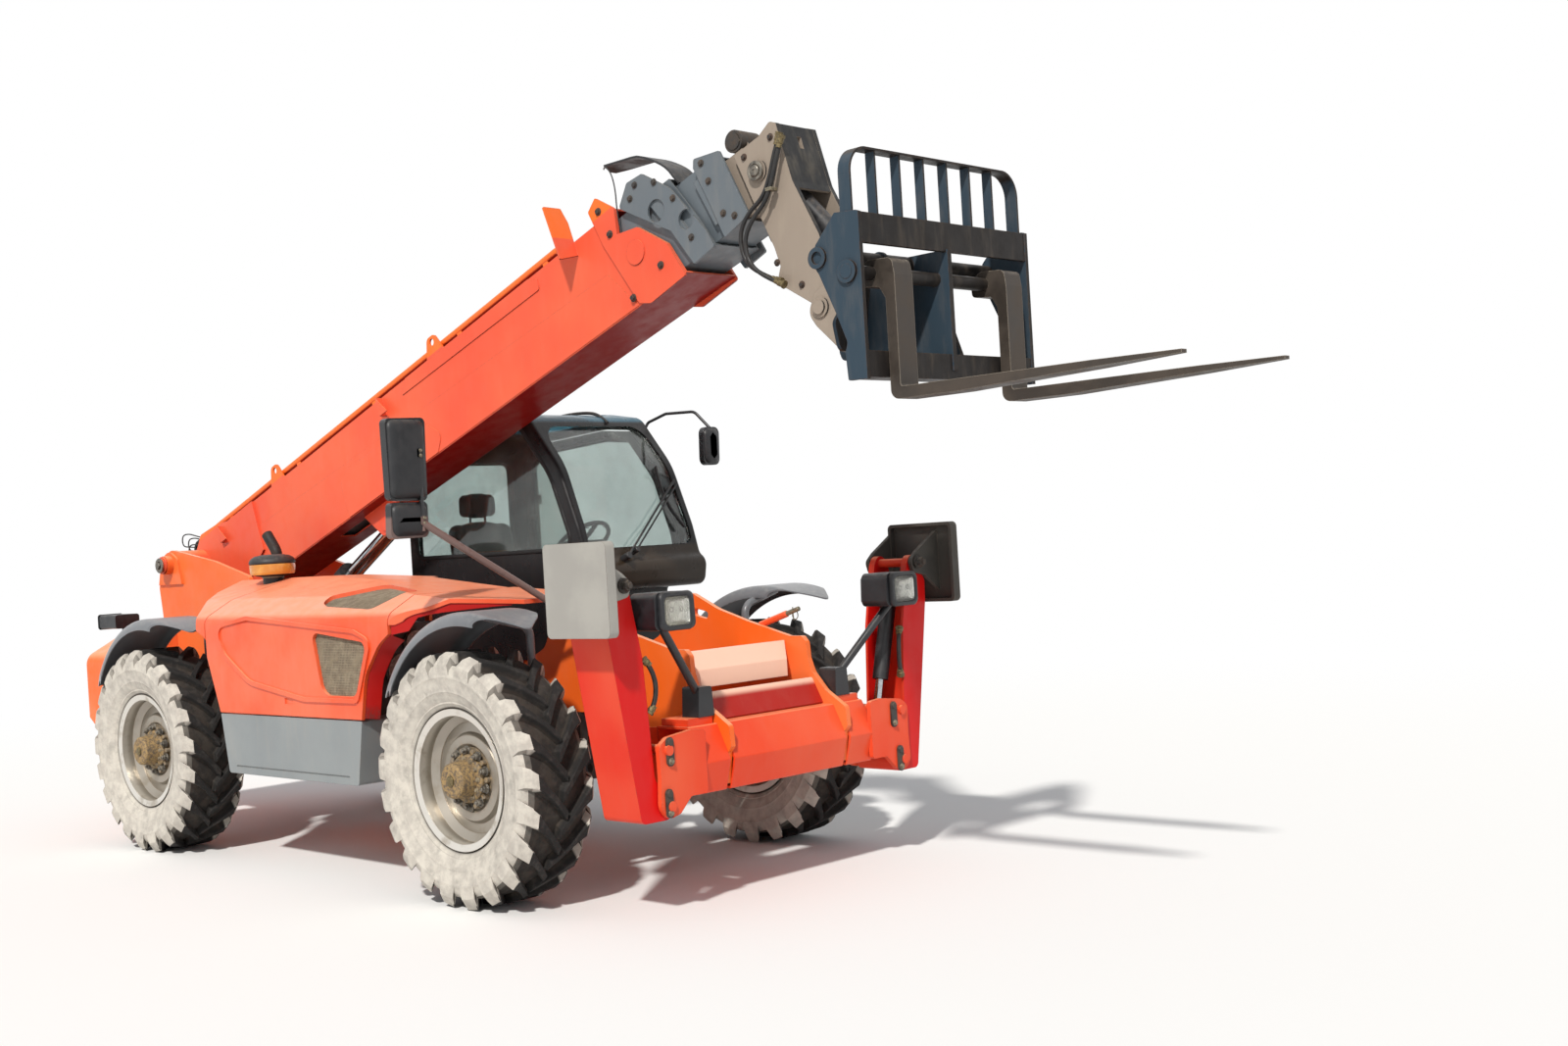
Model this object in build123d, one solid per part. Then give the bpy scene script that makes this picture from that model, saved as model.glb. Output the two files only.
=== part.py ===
"""Four-section telescopic handler with front stabilisers and a fork carriage.

Millimetres. X forward, Y to the driver's left, Z up. The origin lies on the ground, midway between
the axles and between the wheels. The boom is modelled in its own frame (s along it, h square to it),
whose origin is the boom pivot, and is turned up to its parked angle when it is placed.
"""
import os
from math import atan2, cos, degrees, hypot, radians, sin

from build123d import *

# ---------------------------------------------------------------- driving dimensions
RUN = 0.05                   # running fit, radial
SEAT = 0.3                   # between a piece and what it is bolted to
GAP = 8                      # between panels that move past each other

WHEELBASE = 3070
TRACK = 2020                 # between the wheels' middle planes
TYRE_R = 612                 # over the tread
TYRE_W = 400
BEAD_R = 318
TYRE_WALL = 26
RIM_FLANGE_R = 340
RIM_WALL = 12
HUB_R = 118
KINGPIN_Y = 780
AXLE_R = 105
KINGPIN_R = 24
STAY_X, STAY_Y, STAY_TOP = 135, -242, 380   # mudguard stay on the knuckle, from the wheel's centre

PIVOT_X, PIVOT_Z = -2400, 1732   # boom pivot
BOOM_ANGLE = 19.2            # parked angle above the horizontal
BOOM_HALF_W = 175            # base section, outside
BOOM_TOP, BOOM_BOTTOM = 139, -382
BOOM_WALL = 10
SECTION_WALL = 8
SECTION_HALF_W = tuple(BOOM_HALF_W - step for step in (23, 44, 64))   # sections 2, 3 and 4, outside
PIVOT_R = 45

TELESCOPE = 3400             # stroke of each section
HEAD_HALF_W = 141
HEAD_PLATE = 25

LIFT_FOOT = (-2000, 980)    # lift cylinder's lower pin, in XZ
LIFT_EYE = (1935, -512)      # its upper pin, in the boom's frame
TILT_FOOT = (5395, -164)     # tilt cylinder's pin in the head, in the boom's frame
HEAD_PIN = (5505, -920)      # carriage pivot, in the boom's frame
LEVER_R, LEVER_ANGLE = 200, 33.3   # tilt lever from the carriage pivot, in the boom's frame

PLATE_Y = 430                # chassis side plates, outer face
PLATE_T = 30
PLATE_TOP = 1050             # their upper edge under the cab
SILL = 860                   # their lower edge over the axles
TOWER_IN, TOWER_T = PLATE_Y - PLATE_T, 46   # boom towers: inner face and thickness

BEAM_HALF = 620              # stabiliser cross beam
LEG_PIN = (832, 517)         # leg pivot, |y| and z
ROD_PIN = (832, 765)         # stabiliser cylinder's fixed pin
LEG_ANCHOR = 850             # its other pin, along the leg from the pivot
PAD_PIN = (1040, 1500)
LEG_X0, LEG_X1 = 2360, 2600
EAR_T = 24
LEG_GAP = 6

CARRIAGE_HALF = 600
SHAFT = (3596, 2726)         # fork shaft, in XZ
SHAFT_R = 30
FORK_Y = 395
FORK_LENGTH = 1200
FORK_W = 120
FORK_T = 50

CAB_Y0, CAB_Y1 = 252, 1170   # inner (boom side) and outer face of the cab
CAB_WALL = 45
CAB_STEP = PLATE_TOP + SEAT  # underside of the cab over the chassis plate
GLASS_T = 6
DOOR_T = 45
SEAT_OFF = 281                # seat's middle from the chassis plate's outer face
DOOR_HINGE, DOOR_HINGE_Z = (-530, 1186), (1150, 1980)   # hinge axis in XY, and the foot of each knuckle

HOOD_IN, HOOD_OUT = -285, -1120
HOOD_WALL = 22
TANK_TOP = 858
HINGE_Y, HINGE_Z, HINGE_R = -277, 1545, 6      # hood hinge axis and its pin
HINGE_X = (-600, 200)        # rear end of each hinge knuckle
HINGE_LEN = 90
HOOD_FLANGE = 1565           # lower edge of the hood's inner flange
CLEANER, CLEANER_R = (-935, -560), 60      # air pre-cleaner's pipe, in XY
STACK, STACK_R = (-1130, -400), 34         # exhaust stack, in XY



# ---------------------------------------------------------------- helpers
def side(y):
    """Plane whose x is X and whose y is Z, facing -Y."""
    return Plane(origin=(0, y, 0), x_dir=(1, 0, 0), z_dir=(0, -1, 0))


def front(x):
    """Plane whose x is Y and whose y is Z, facing +X."""
    return Plane(origin=(x, 0, 0), x_dir=(0, 1, 0), z_dir=(1, 0, 0))


def outline(points):
    """Closed flat outline; a third number in a point is the radius of that corner."""
    sketch = make_face(Polyline(*[(p[0], p[1]) for p in points], close=True))
    for p in points:
        if len(p) == 3:
            corner = sketch.vertices().sort_by_distance((p[0], p[1], 0))[0]
            sketch = fillet(corner, p[2])
    return sketch


def plate(points, y0, y1):
    """Outline in XZ, from y0 to y1."""
    return extrude(side(y1) * outline(points), y1 - y0, dir=(0, -1, 0))


def cross(points, x0, x1):
    """Outline in YZ, from x0 to x1."""
    return extrude(front(x0) * outline(points), x1 - x0, dir=(1, 0, 0))


def deck(points, z0, z1):
    """Outline in XY, from z0 to z1."""
    return extrude(Pos(0, 0, z0) * outline(points), z1 - z0, dir=(0, 0, 1))


def block(x0, x1, y0, y1, z0, z1, r=0):
    """Block between two corners; r rounds the edges along its longest side."""
    body = Pos((x0 + x1) / 2, (y0 + y1) / 2, (z0 + z1) / 2) * Box(x1 - x0, y1 - y0, z1 - z0)
    if r:
        spans = [x1 - x0, y1 - y0, z1 - z0]
        along = (Axis.X, Axis.Y, Axis.Z)[spans.index(max(spans))]
        body = fillet(body.edges().filter_by(along), r)
    return body


def bar(a, b, r, bore=0):
    """Round bar or tube from point a to point b."""
    a, b = Vector(*a), Vector(*b)
    plane = Plane(origin=a, z_dir=b - a)
    ring = Circle(r) - Circle(bore) if bore else Circle(r)
    return extrude(plane * ring, (b - a).length, dir=tuple((b - a).normalized()))


def pin_y(x, z, r, y0, y1, bore=0):
    return bar((x, y0, z), (x, y1, z), r, bore)


def pin_x(y, z, r, x0, x1, bore=0):
    return bar((x0, y, z), (x1, y, z), r, bore)


def turned(profile, place):
    """Solid of revolution about the wheel axis (Y): profile points are (radius, y)."""
    ring = revolve(Plane.XY * make_face(Polyline(*profile, close=True)), Axis.Y)
    return Pos(*place) * ring


def mirrored(shape):
    """The same shape on the other side of the machine."""
    return mirror(shape, Plane.XZ)


def both(shape):
    return shape + mirrored(shape)


def tube_path(points, radii, r):
    """Round tube along straight runs joined by arcs."""
    path = FilletPolyline(*points, radius=radii)
    start = Plane(origin=path @ 0, z_dir=path % 0)
    return sweep(start * Circle(r), path=path)


BOOM = Pos(PIVOT_X, 0, PIVOT_Z) * Rot(0, -BOOM_ANGLE, 0)


def boom_point(s, h):
    """A point of the boom's frame, in XZ."""
    a = radians(BOOM_ANGLE)
    return PIVOT_X + s * cos(a) - h * sin(a), PIVOT_Z + s * sin(a) + h * cos(a)


def polar(centre, r, angle):
    return centre[0] + r * cos(radians(angle)), centre[1] + r * sin(radians(angle))


PARTS = {}


# ---------------------------------------------------------------- wheels, hubs, knuckles, mudguards
def tyre():
    """Agricultural tyre as a hollow carcass: bead, bulging side wall, shoulder, flat tread."""
    half, crown = TYRE_W / 2, TYRE_R
    bead = half - 62
    outer = [(BEAD_R, bead), (RIM_FLANGE_R + 6, bead), (BEAD_R + 78, half - 20), (BEAD_R + 150, half),
             (crown - 70, half - 4), (crown - 14, half - 26), (crown, half - 90)]
    inner = [(BEAD_R, bead - TYRE_WALL), (RIM_FLANGE_R + 6, bead - TYRE_WALL)]
    inner += [(r - TYRE_WALL if r > BEAD_R + 100 else r, y - TYRE_WALL) for r, y in outer[2:]]
    profile = outer + [(r, -y) for r, y in reversed(outer)]
    profile += [(r, -y) for r, y in inner] + [(r, y) for r, y in reversed(inner)]
    return turned(profile, (0, 0, 0))


def rim():
    """Drop-centre rim with a stepped disc dished inboard; the outer side is +Y."""
    half = TYRE_W / 2 - 62
    seat = BEAD_R - 1
    barrel = [(RIM_FLANGE_R, half + 14), (RIM_FLANGE_R, half + 2), (seat, half + 1), (seat, half - 60),
              (seat - 38, half - 90), (seat - 38, -half + 70), (seat, -half + 45), (seat, -half - 1),
              (RIM_FLANGE_R, -half - 2), (RIM_FLANGE_R, -half - 14), (seat - RIM_WALL, -half - 6),
              (seat - RIM_WALL, -half + 40), (seat - 50, -half + 66), (seat - 50, half - 92),
              (seat - RIM_WALL, half - 64), (seat - RIM_WALL, half + 6)]
    disc = [(seat - 44, half - 110), (seat - 44, half - 96), (220, half - 92), (205, half - 70),
            (165, half - 66), (150, half - 78), (HUB_R - 2, half - 78), (HUB_R - 2, half - 94),
            (157, half - 94), (170, half - 82), (200, half - 86), (215, half - 108)]
    hub = [(0, half - 170), (HUB_R, half - 170), (HUB_R, half - 46), (HUB_R - 8, half - 38),
           (92, half - 34), (84, half + 42), (74, half + 52), (0, half + 52)]
    nut_ring = [Rot(0, 36 * i, 0) * bar((134, half - 80, 0), (134, half - 52, 0), 13) for i in range(10)]
    wheel = turned(barrel, (0, 0, 0)) + turned(disc, (0, 0, 0)) + turned(hub, (0, 0, 0))
    for nut in nut_ring:
        wheel += nut
    return wheel


def knuckle(way):
    """Steering knuckle of a left wheel at the wheel's centre: housing, caps, arm and stay.

    way is +1 where the steering arm points forward and -1 where it points back."""
    y_pin = KINGPIN_Y - TRACK / 2
    half = TYRE_W / 2 - 62
    body = turned([(0, y_pin - 70), (92, y_pin - 70), (128, y_pin - 30), (128, y_pin + 60),
                   (110, half - 178), (0, half - 178)], (0, 0, 0))
    for z0, z1 in ((100, 160), (-160, -100)):
        body += bar((0, y_pin, z0), (0, y_pin, z1), 62)
        body -= bar((0, y_pin, z0 - 30), (0, y_pin, z1 + 30), KINGPIN_R + RUN)
    arm = block(min(way * 60, way * 215), max(way * 60, way * 215), y_pin - 25, y_pin + 20, -55, -15)
    stay = block(STAY_X - 30, STAY_X + 30, STAY_Y - 24, STAY_Y + 24, 0, STAY_TOP)
    return body + arm + stay


def guard_band(r_in, r_out, y0, y1, a0, a1, crown):
    """Arched band about the mudguard's own centre, its two outer long edges rounded by crown."""
    centre, middle = (139, 95), (a0 + a1) / 2
    rim_out = ThreePointArc(polar(centre, r_out, a0), polar(centre, r_out, middle), polar(centre, r_out, a1))
    rim_in = ThreePointArc(polar(centre, r_in, a1), polar(centre, r_in, middle), polar(centre, r_in, a0))
    face = make_face(rim_out + Line(polar(centre, r_out, a1), polar(centre, r_in, a1)) + rim_in
                     + Line(polar(centre, r_in, a0), polar(centre, r_out, a0)))
    band = extrude(side(y1) * face, y1 - y0, dir=(0, -1, 0))
    long_edges = band.edges().filter_by(GeomType.CIRCLE).sort_by(lambda e: e.radius)[-2:]
    return fillet(long_edges, crown)


def mudguard():
    """Left front mudguard at the wheel's centre: a crowned arch with turned-down sides, on a stay."""
    y0, y1 = -172, 212
    shell = guard_band(640, 704, y0, y1, 155, 51, 58) - guard_band(560, 697, y0 + 7, y1 - 7, 160, 46, 52)
    leaf = deck([(-620, y0 + 96, 30), (-430, y0 + 50, 90), (-330, y0 - 20, 60), (170, y0 - 20, 150),
                 (360, y0 + 60, 160), (486, 50, 36), (360, y1 - 50, 160), (190, y1 + 20, 150), (-330, y1 + 20, 60),
                 (-620, y1 - 60, 60)], 200, 900)
    post = tube_path([(STAY_X, STAY_Y, STAY_TOP), (STAY_X, STAY_Y, 700), (STAY_X - 10, 30, 768)], [70], 20)
    return (shell & leaf) + post


def wheel_sets():
    """The four corners: name, x sign, y sign. The steering arms point away from the middle."""
    for name, sx, sy in (("front_left", 1, 1), ("front_right", 1, -1), ("rear_left", -1, 1), ("rear_right", -1, -1)):
        for kind, shape in (("tyre", tyre()), ("rim", rim()), ("knuckle", knuckle(sx)), ("mudguard", mudguard())):
            piece = shape if sy > 0 else mirrored(shape)
            PARTS[f"{kind}_{name}"] = Pos(sx * WHEELBASE / 2, sy * TRACK / 2, TYRE_R) * piece


def axle(x, sign):
    """Axle beam with its centre housing, steering cylinder and the forks that hold the kingpins.

    sign is +1 where the propeller shaft comes from +X."""
    end = KINGPIN_Y - 165
    beam = turned([(0, -end), (AXLE_R - 22, -end), (AXLE_R, -430), (AXLE_R + 5, -200), (170, -130),
                   (170, 130), (AXLE_R + 5, 200), (AXLE_R, 430), (AXLE_R - 22, end), (0, end)], (x, 0, TYRE_R))
    fork = block(x - 70, x + 70, end - 70, end - 20, TYRE_R - 200, TYRE_R + 200)
    for z0, z1, pin0, pin1 in ((165, 200, 138, 200), (-200, -165, -200, -138)):
        fork += block(x - 60, x + 60, end - 40, KINGPIN_Y + 55, TYRE_R + z0, TYRE_R + z1)
        fork += bar((x, KINGPIN_Y, TYRE_R + pin0), (x, KINGPIN_Y, TYRE_R + pin1), KINGPIN_R)
    beam += both(fork)
    beam += bar((x + sign * 120, 0, TYRE_R), (x + sign * 240, 0, TYRE_R), 70)
    beam += both(block(x - 90, x + 90, PLATE_Y - PLATE_T - 8, PLATE_Y + 8, TYRE_R + 60, SILL - SEAT))
    far = x - sign * 190
    beam += bar((far, -330, TYRE_R - 20), (far, 330, TYRE_R - 20), 42)
    beam += bar((far, -480, TYRE_R - 20), (far, 480, TYRE_R - 20), 22)
    return beam + block(min(far, x), max(far, x), -60, 60, TYRE_R - 55, TYRE_R + 15)


# ---------------------------------------------------------------- chassis
def chassis():
    """Two long side plates joined by cross members, with the boom towers at the rear."""
    y0, y1 = PLATE_Y - PLATE_T, PLATE_Y
    side_plate = plate([
        (-2560, 706), (-2360, 706), (-2010, 640), (-1900, SILL), (-1170, SILL), (-1060, 480), (1060, 480),
        (1170, SILL), (1900, SILL), (2010, 560), (2330, 560), (2590, 560), (2612, 706), (2634, 730, 10),
        (2628, 826, 26), (2508, 905, 60), (2432, 995, 50), (2408, 1062, 20), (2402, 1142, 24), (2376, 1172, 20),
        (2296, 1172, 40), (2018, 1250, 200), (1813, 1316, 200),
        (1640, 1400, 60), (1500, 1405, 60), (1380, 1180, 80), (1100, PLATE_TOP), (-1100, PLATE_TOP),
        (-1300, 1400, 100), (-1435, 1629, 40), (-1845, 1737, 300), (-2330, 1822, 60), (-2400, 1832, 90),
        (-2510, 1770, 40), (-2585, 1583, 60), (-2550, 1356, 40)], y0, y1)
    slot = plate([(1640, 1285, 16), (1740, 1262, 16), (1748, 1300, 16), (1648, 1323, 16)], y0 - 5, y1 + 5)
    frame = both(side_plate - slot)
    tower = plate([(-2510, 1770, 40), (-2400, 1830, 90), (-2300, 1770, 60), (-2250, 1600), (-2560, 1600)],
                  TOWER_IN, TOWER_IN + TOWER_T)
    frame += both(tower)
    crossings = (  # x0, x1, z0, z1 of each member between the plates
        (-2540, -2480, 760, 1120), (-1160, -1100, 690, 860), (1100, 1160, 690, 1000), (1950, 2010, 620, 1050), (-1720, -1350, 866, 900), (1350, 1720, 866, 900))
    for x0, x1, z0, z1 in crossings:
        frame += block(x0, x1, -y0, y0, z0, z1)
    frame += block(-1060, 1060, -y0, y0, 484, 500)
    for sign in (1, -1):   # lugs of the lift cylinder's foot
        x, z = LIFT_FOOT
        frame += plate([(x - 150, 885), (x + 110, 885), (x + 62, z + 40, 45), (x - 62, z + 62, 45)],
                       min(sign * 56, sign * 84), max(sign * 56, sign * 84))
    frame += block(-2480, -1860, -y0, y0, 872, 897)
    frame += pin_y(*LIFT_FOOT, 35, -96, 96)
    frame += both(pin_y(PIVOT_X, PIVOT_Z, 62, TOWER_IN + TOWER_T, TOWER_IN + TOWER_T + 44))
    return frame - pin_y(PIVOT_X, PIVOT_Z, PIVOT_R + RUN, -600, 600)


def counterweight():
    """Cast block behind the rear axle, between and beside the plates."""
    inner = PLATE_Y + SEAT
    weight = cross([(-900, 640, 60), (900, 640, 60), (900, 1150, 90), (620, 1290, 60), (inner, 1290),
                    (inner, 700), (-inner, 700), (-inner, 1290), (-620, 1290, 60), (-900, 1150, 90)], -2780, -2380)
    weight += block(-2780, -2600, -470, 470, 690, 1290)
    trim = plate([(-2800, 600), (-2800, 760), (-2560, 600)], -950, 950)
    bore = bar((-2700, 0, 600), (-2700, 0, 800), 20)
    return weight - trim - block(-2740, -2660, -60, 60, 560, 690) - bore


def front_frame():
    """Stabiliser cross beam with its ears, the sloped cover and the dark cradle plate."""
    profile = [(2350, 534), (2590, 534, 12), (2628, 676, 12), (2552, 838, 12), (2350, 838, 12)]
    hollow = [(2362, 546), (2582, 546), (2614, 676), (2545, 826), (2362, 826)]
    beam = plate(profile, -BEAM_HALF, BEAM_HALF) - plate(hollow, -BEAM_HALF - 5, BEAM_HALF + 5)
    beam -= both(block(2200, 2640, PLATE_Y - PLATE_T - 0.5, PLATE_Y + 0.5, 500, 900))
    ear = [(590, 545, 20), (590, 830, 20), (680, 838), (ROD_PIN[0], ROD_PIN[1] + 56, 40),
           (ROD_PIN[0] + 54, ROD_PIN[1] + 20, 40), (ROD_PIN[0] + 50, 640), (LEG_PIN[0] + 58, LEG_PIN[1], 50),
           (LEG_PIN[0] + 20, LEG_PIN[1] - 58, 50), (LEG_PIN[0] - 58, LEG_PIN[1] - 40, 40), (700, 545, 20)]
    for x0 in (LEG_X0 - LEG_GAP - EAR_T, LEG_X1 + LEG_GAP):
        for sign in (1, -1):
            beam += cross([(sign * p[0],) + tuple(p[1:]) for p in ear], x0, x0 + EAR_T)
    rest = block(2372, 2540, PLATE_Y + 14, 606, 836, 872, 6)
    for y in (480, 560):
        rest -= bar((2440, y, 800), (2440, y, 900), 9)
    beam += both(rest)
    beam += both(pin_x(*LEG_PIN, 24, LEG_X0 - 40, LEG_X1 + 44))
    middle = (LEG_X0 + LEG_X1) / 2
    beam += both(pin_x(*ROD_PIN, 24, LEG_X0 - 40, middle - 31) + pin_x(*ROD_PIN, 24, middle + 31, LEG_X1 + 44))
    return beam


def front_cover():
    """Sloped cover and cradle plate between the chassis plates."""
    y = PLATE_Y - PLATE_T - SEAT
    wall, mitre = 12, 100
    tray = plate([(1950, 1107), (2262, 1153, 15), (2346, 1066, 10), (2352, 982), (2010 + SEAT, 982),
                  (2010 + SEAT, 1050 + SEAT), (1950, 1050 + SEAT)], -y, y)   # notched over the cross member
    tray &= deck([(1950, -y), (2262, -y), (2360, -y + mitre), (2360, y - mitre), (2262, y), (1950, y)], 960, 1180)
    inside = plate([(1900, 1107 - wall), (2256, 1153 - wall), (2346 - wall, 1066 - 6), (2352 - wall, 900), (1900, 900)],
                   -y + wall, y - wall)
    inside &= deck([(1900, -y + wall), (2256, -y + wall), (2350, -y + mitre + wall), (2350, y - mitre - wall),
                    (2256, y - wall), (1900, y - wall)], 800, 1180)
    cradle = plate([(2412, 960), (2424, 968), (2432, 962), (2490, 846), (2482, 838 + SEAT), (2474, 838 + SEAT)], -y, y)
    cradle += both(plate([(2330, 838 + SEAT), (2440, 950), (2480, 838 + SEAT)], y - 90, y - 80))
    return tray - inside, cradle


def engine():
    return block(-560, 520, -980, -PLATE_Y - 20, TANK_TOP + SEAT, 1330)


def tank_box():
    """Grey fuel and hydraulic tank under the hood, with its sloped ends."""
    body = plate([(-700, TANK_TOP, 8), (-640, 522, 20), (640, 522, 20), (702, TANK_TOP, 8)],
                 -1108, -PLATE_Y - SEAT)
    return body - block(-560, 560, -1112, -1102, 560, 568)


def transmission():
    """Gearbox under the middle of the frame with a propeller shaft to each axle."""
    box = block(-230, 300, -210, 210, 500 + SEAT, 860, 40)
    reach = WHEELBASE / 2 - 240 - SEAT
    shafts = bar((300, 0, TYRE_R), (reach, 0, TYRE_R), 38) + bar((-reach, 0, TYRE_R), (-230, 0, TYRE_R), 38)
    for x in (360, 1230, -290, -1230):
        shafts += bar((x - 30, 0, TYRE_R), (x + 30, 0, TYRE_R), 62)
    return box + shafts


def left_step():
    """Battery box and foot steps under the cab's door."""
    body = plate([(-620, 880, 8), (-570, 520, 20), (560, 520, 20), (610, 880, 8)], PLATE_Y + SEAT, 1080)
    body -= block(-150, 430, 900, 1100, 600, 700)
    body -= block(-150, 430, 840, 1100, 750, 900)
    return body


# ---------------------------------------------------------------- body panels and hood
def hood_profile():
    """Section across the hood, seen from the front: (y, z) with corner radii."""
    return [(HOOD_IN, 870), (HOOD_IN, 1600, 12), (-500, 1606, 90), (-930, 1500, 160),
            (HOOD_OUT, 1400, 70), (HOOD_OUT + 2, 864, 8)]


def inset_profile(t):
    return [(HOOD_IN - t, 800), (HOOD_IN - t, 1600 - t), (-500, 1606 - t, 90), (-930 + 6, 1500 - t, 150),
            (HOOD_OUT + t, 1400 - 8, 60), (HOOD_OUT + t, 800)]


def hood_bulk(x0, x1, t=0):
    """Hood section run along X, with the top falling gently to the front; t insets every face."""
    bulk = cross(inset_profile(t) if t else hood_profile(), x0, x1)
    crown = [(-1500, 1700), (-1400, 1622 - t), (-480, 1606 - t), (300, 1570 - t), (1000, 1492 - t), (1720, 1440 - t),
             (1720, 1700)]
    return bulk - plate(crown, -1300, 0)


def hood():
    """Hinged engine hood: one shell with a raised oval lip and two mesh openings."""
    x0, x1 = -800, 990
    shell = hood_bulk(x0, x1) - hood_bulk(x0 - 10, x1 + 10, HOOD_WALL)
    arch = plate([(700, 800), (766, 1092, 240), (900, 1250, 200), (1060, 1346), (1200, 1346), (1200, 800)],
                 -1300, HOOD_IN - 60)
    tail = plate([(-900, 800), (-676, 800), (-690, 880, 60), (-800, 1180, 200), (-850, 1400), (-1000, 1400)],
                 -1300, HOOD_IN - 60)
    shell = shell - arch - tail - block(x0 - 10, x1 + 10, HOOD_IN - 40, HOOD_IN + 5, 800, HOOD_FLANGE)
    lip_outer = plate([(-700, 1352, 60), (-620, 1190, 160), (-350, 1030, 260), (200, 948, 300),
                       (704, 950, 60), (848, 1274, 60), (700, 1330, 90), (-340, 1412, 150)],
                      HOOD_OUT - 10, HOOD_OUT + 12)
    lip_inner = plate([(-672, 1342, 50), (-590, 1204, 150), (-340, 1054, 250), (200, 972, 290),
                       (690, 972, 50), (822, 1268, 50), (692, 1310, 80), (-340, 1388, 140)],
                      HOOD_OUT - 20, HOOD_OUT + 20)
    shell += lip_outer - lip_inner
    side_vent = plate([(298, 1318, 40), (795, 1262, 40), (676, 985, 50), (372, 985, 90)],
                      HOOD_OUT - 30, HOOD_OUT + 60)
    shell -= side_vent
    top_vent = deck([(165, -960, 60), (330, -1030, 120), (780, -1066, 60), (950, -830, 80), (470, -748, 160)], 1380, 1600)
    shell -= top_vent
    latch = block(0, 80, HOOD_OUT - 20, HOOD_OUT + 10, 930, 962)
    shell -= latch
    for x in HINGE_X:
        shell += block(x, x + HINGE_LEN, HOOD_IN - 15, HOOD_IN + 1, HINGE_Z - 9, HOOD_FLANGE + 4)
        shell += pin_x(HINGE_Y, HINGE_Z, HINGE_R + 5, x, x + HINGE_LEN)
        shell -= pin_x(HINGE_Y, HINGE_Z, HINGE_R + RUN, x - 5, x + HINGE_LEN + 5)
    return shell


def hood_grilles():
    """Two mesh panels that close the hood's openings from inside."""
    t = HOOD_WALL + SEAT
    side_panel = plate([(286, 1332, 40), (811, 1273, 40), (686, 972, 50), (362, 972, 90)],
                       HOOD_OUT + t, HOOD_OUT + t + 6)
    top_panel = hood_bulk(150, 975, t) - hood_bulk(140, 985, t + 6)
    return side_panel, top_panel & deck([(152, -962, 55), (326, -1042, 110), (792, -1080, 55), (966, -822, 75),
                                         (466, -735, 150)], 1330, 1620)


def hinge_rail():
    """Rail on posts from the right-hand side plate, with the ears and pins of the hood's hinges."""
    rail = block(-780, 420, -259, -247, 1430, 1475)
    for x in HINGE_X:
        rail += pin_x(HINGE_Y, HINGE_Z, HINGE_R, x - 22, x + HINGE_LEN + 22)
        for x_ear in (x - 20, x + HINGE_LEN + 2):
            rail += cross([(-259, 1440), (-259, HINGE_Z), (HINGE_Y + 4, HINGE_Z + 11, 6), (HINGE_Y - 6, HINGE_Z + 11, 6),
                           (HINGE_Y - 11, HINGE_Z - 8), (-270, 1440)], x_ear, x_ear + 18)
    for x in (-780, -100, 380):
        rail += block(x, x + 40, -PLATE_Y + 4, -250, 1430, 1470)
        rail += block(x, x + 40, -PLATE_Y + 4, -PLATE_Y + 26, 1030, 1470)
    return rail


def body_panels():
    """Fixed panels: rear deck behind the hood and wing panel above the front wheel."""
    rear = hood_bulk(-1400, -808) - hood_bulk(-1420, -790, HOOD_WALL)
    rear -= deck([(-1500, -1300), (-1500, -470), (-1405, -470), (-1250, -760, 80), (-900, -1125), (-808, -1300)],
                 800, 1800)
    rear -= plate([(-1500, 700), (-700, 700), (-700, 1180), (-830, 1300), (-1100, 1418), (-1500, 1418)],
                  -1300, HOOD_IN - 40)
    rear -= block(-1500, -700, HOOD_IN - 40, HOOD_IN + 10, 700, 1560)
    wing = hood_bulk(998, 1660) - hood_bulk(980, 1680, HOOD_WALL)
    wing -= deck([(980, -1300), (980, -1125), (1250, -1060, 150), (1500, -880, 120), (1700, -760), (1700, -1300)],
                 800, 1800)
    wing -= plate([(900, 700), (900, 1350), (1040, 1350), (1250, 1414), (1700, 1414), (1700, 700)],
                  -1300, HOOD_IN - 40)
    wing -= block(900, 1700, HOOD_IN - 40, HOOD_IN + 10, 700, 1440)
    rear += block(-1300, -1260, -PLATE_Y - 24, -PLATE_Y - SEAT, 1240, 1590)
    wing += block(1540, 1590, -PLATE_Y - 24, -PLATE_Y - SEAT, 1330, 1438)
    rear -= bar((*CLEANER, 1400), (*CLEANER, 1800), CLEANER_R + 0.3)
    rear -= bar((*STACK, 1400), (*STACK, 1800), STACK_R + 0.3)
    return rear, wing


# ---------------------------------------------------------------- cab
CAB_SIDE = [(-640, 900, 60), (-640, 2300, 140), (-420, 2452, 160), (300, 2486, 300), (560, 2440, 120),
            (800, 2140, 500), (940, 1780, 400), (985, 1610, 60), (1040, 1570, 70), (1014, 1424, 60),
            (700, 1424, 40), (690, 900, 60)]
CAB_INSIDE = [(-595, 945, 40), (-595, 2280, 120), (-400, 2408, 140), (290, 2440, 260), (530, 2400, 100),
              (756, 2120, 460), (893, 1770, 360), (930, 1620, 60), (930, 1470, 30), (650, 1470, 40),
              (645, 945, 40)]


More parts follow.
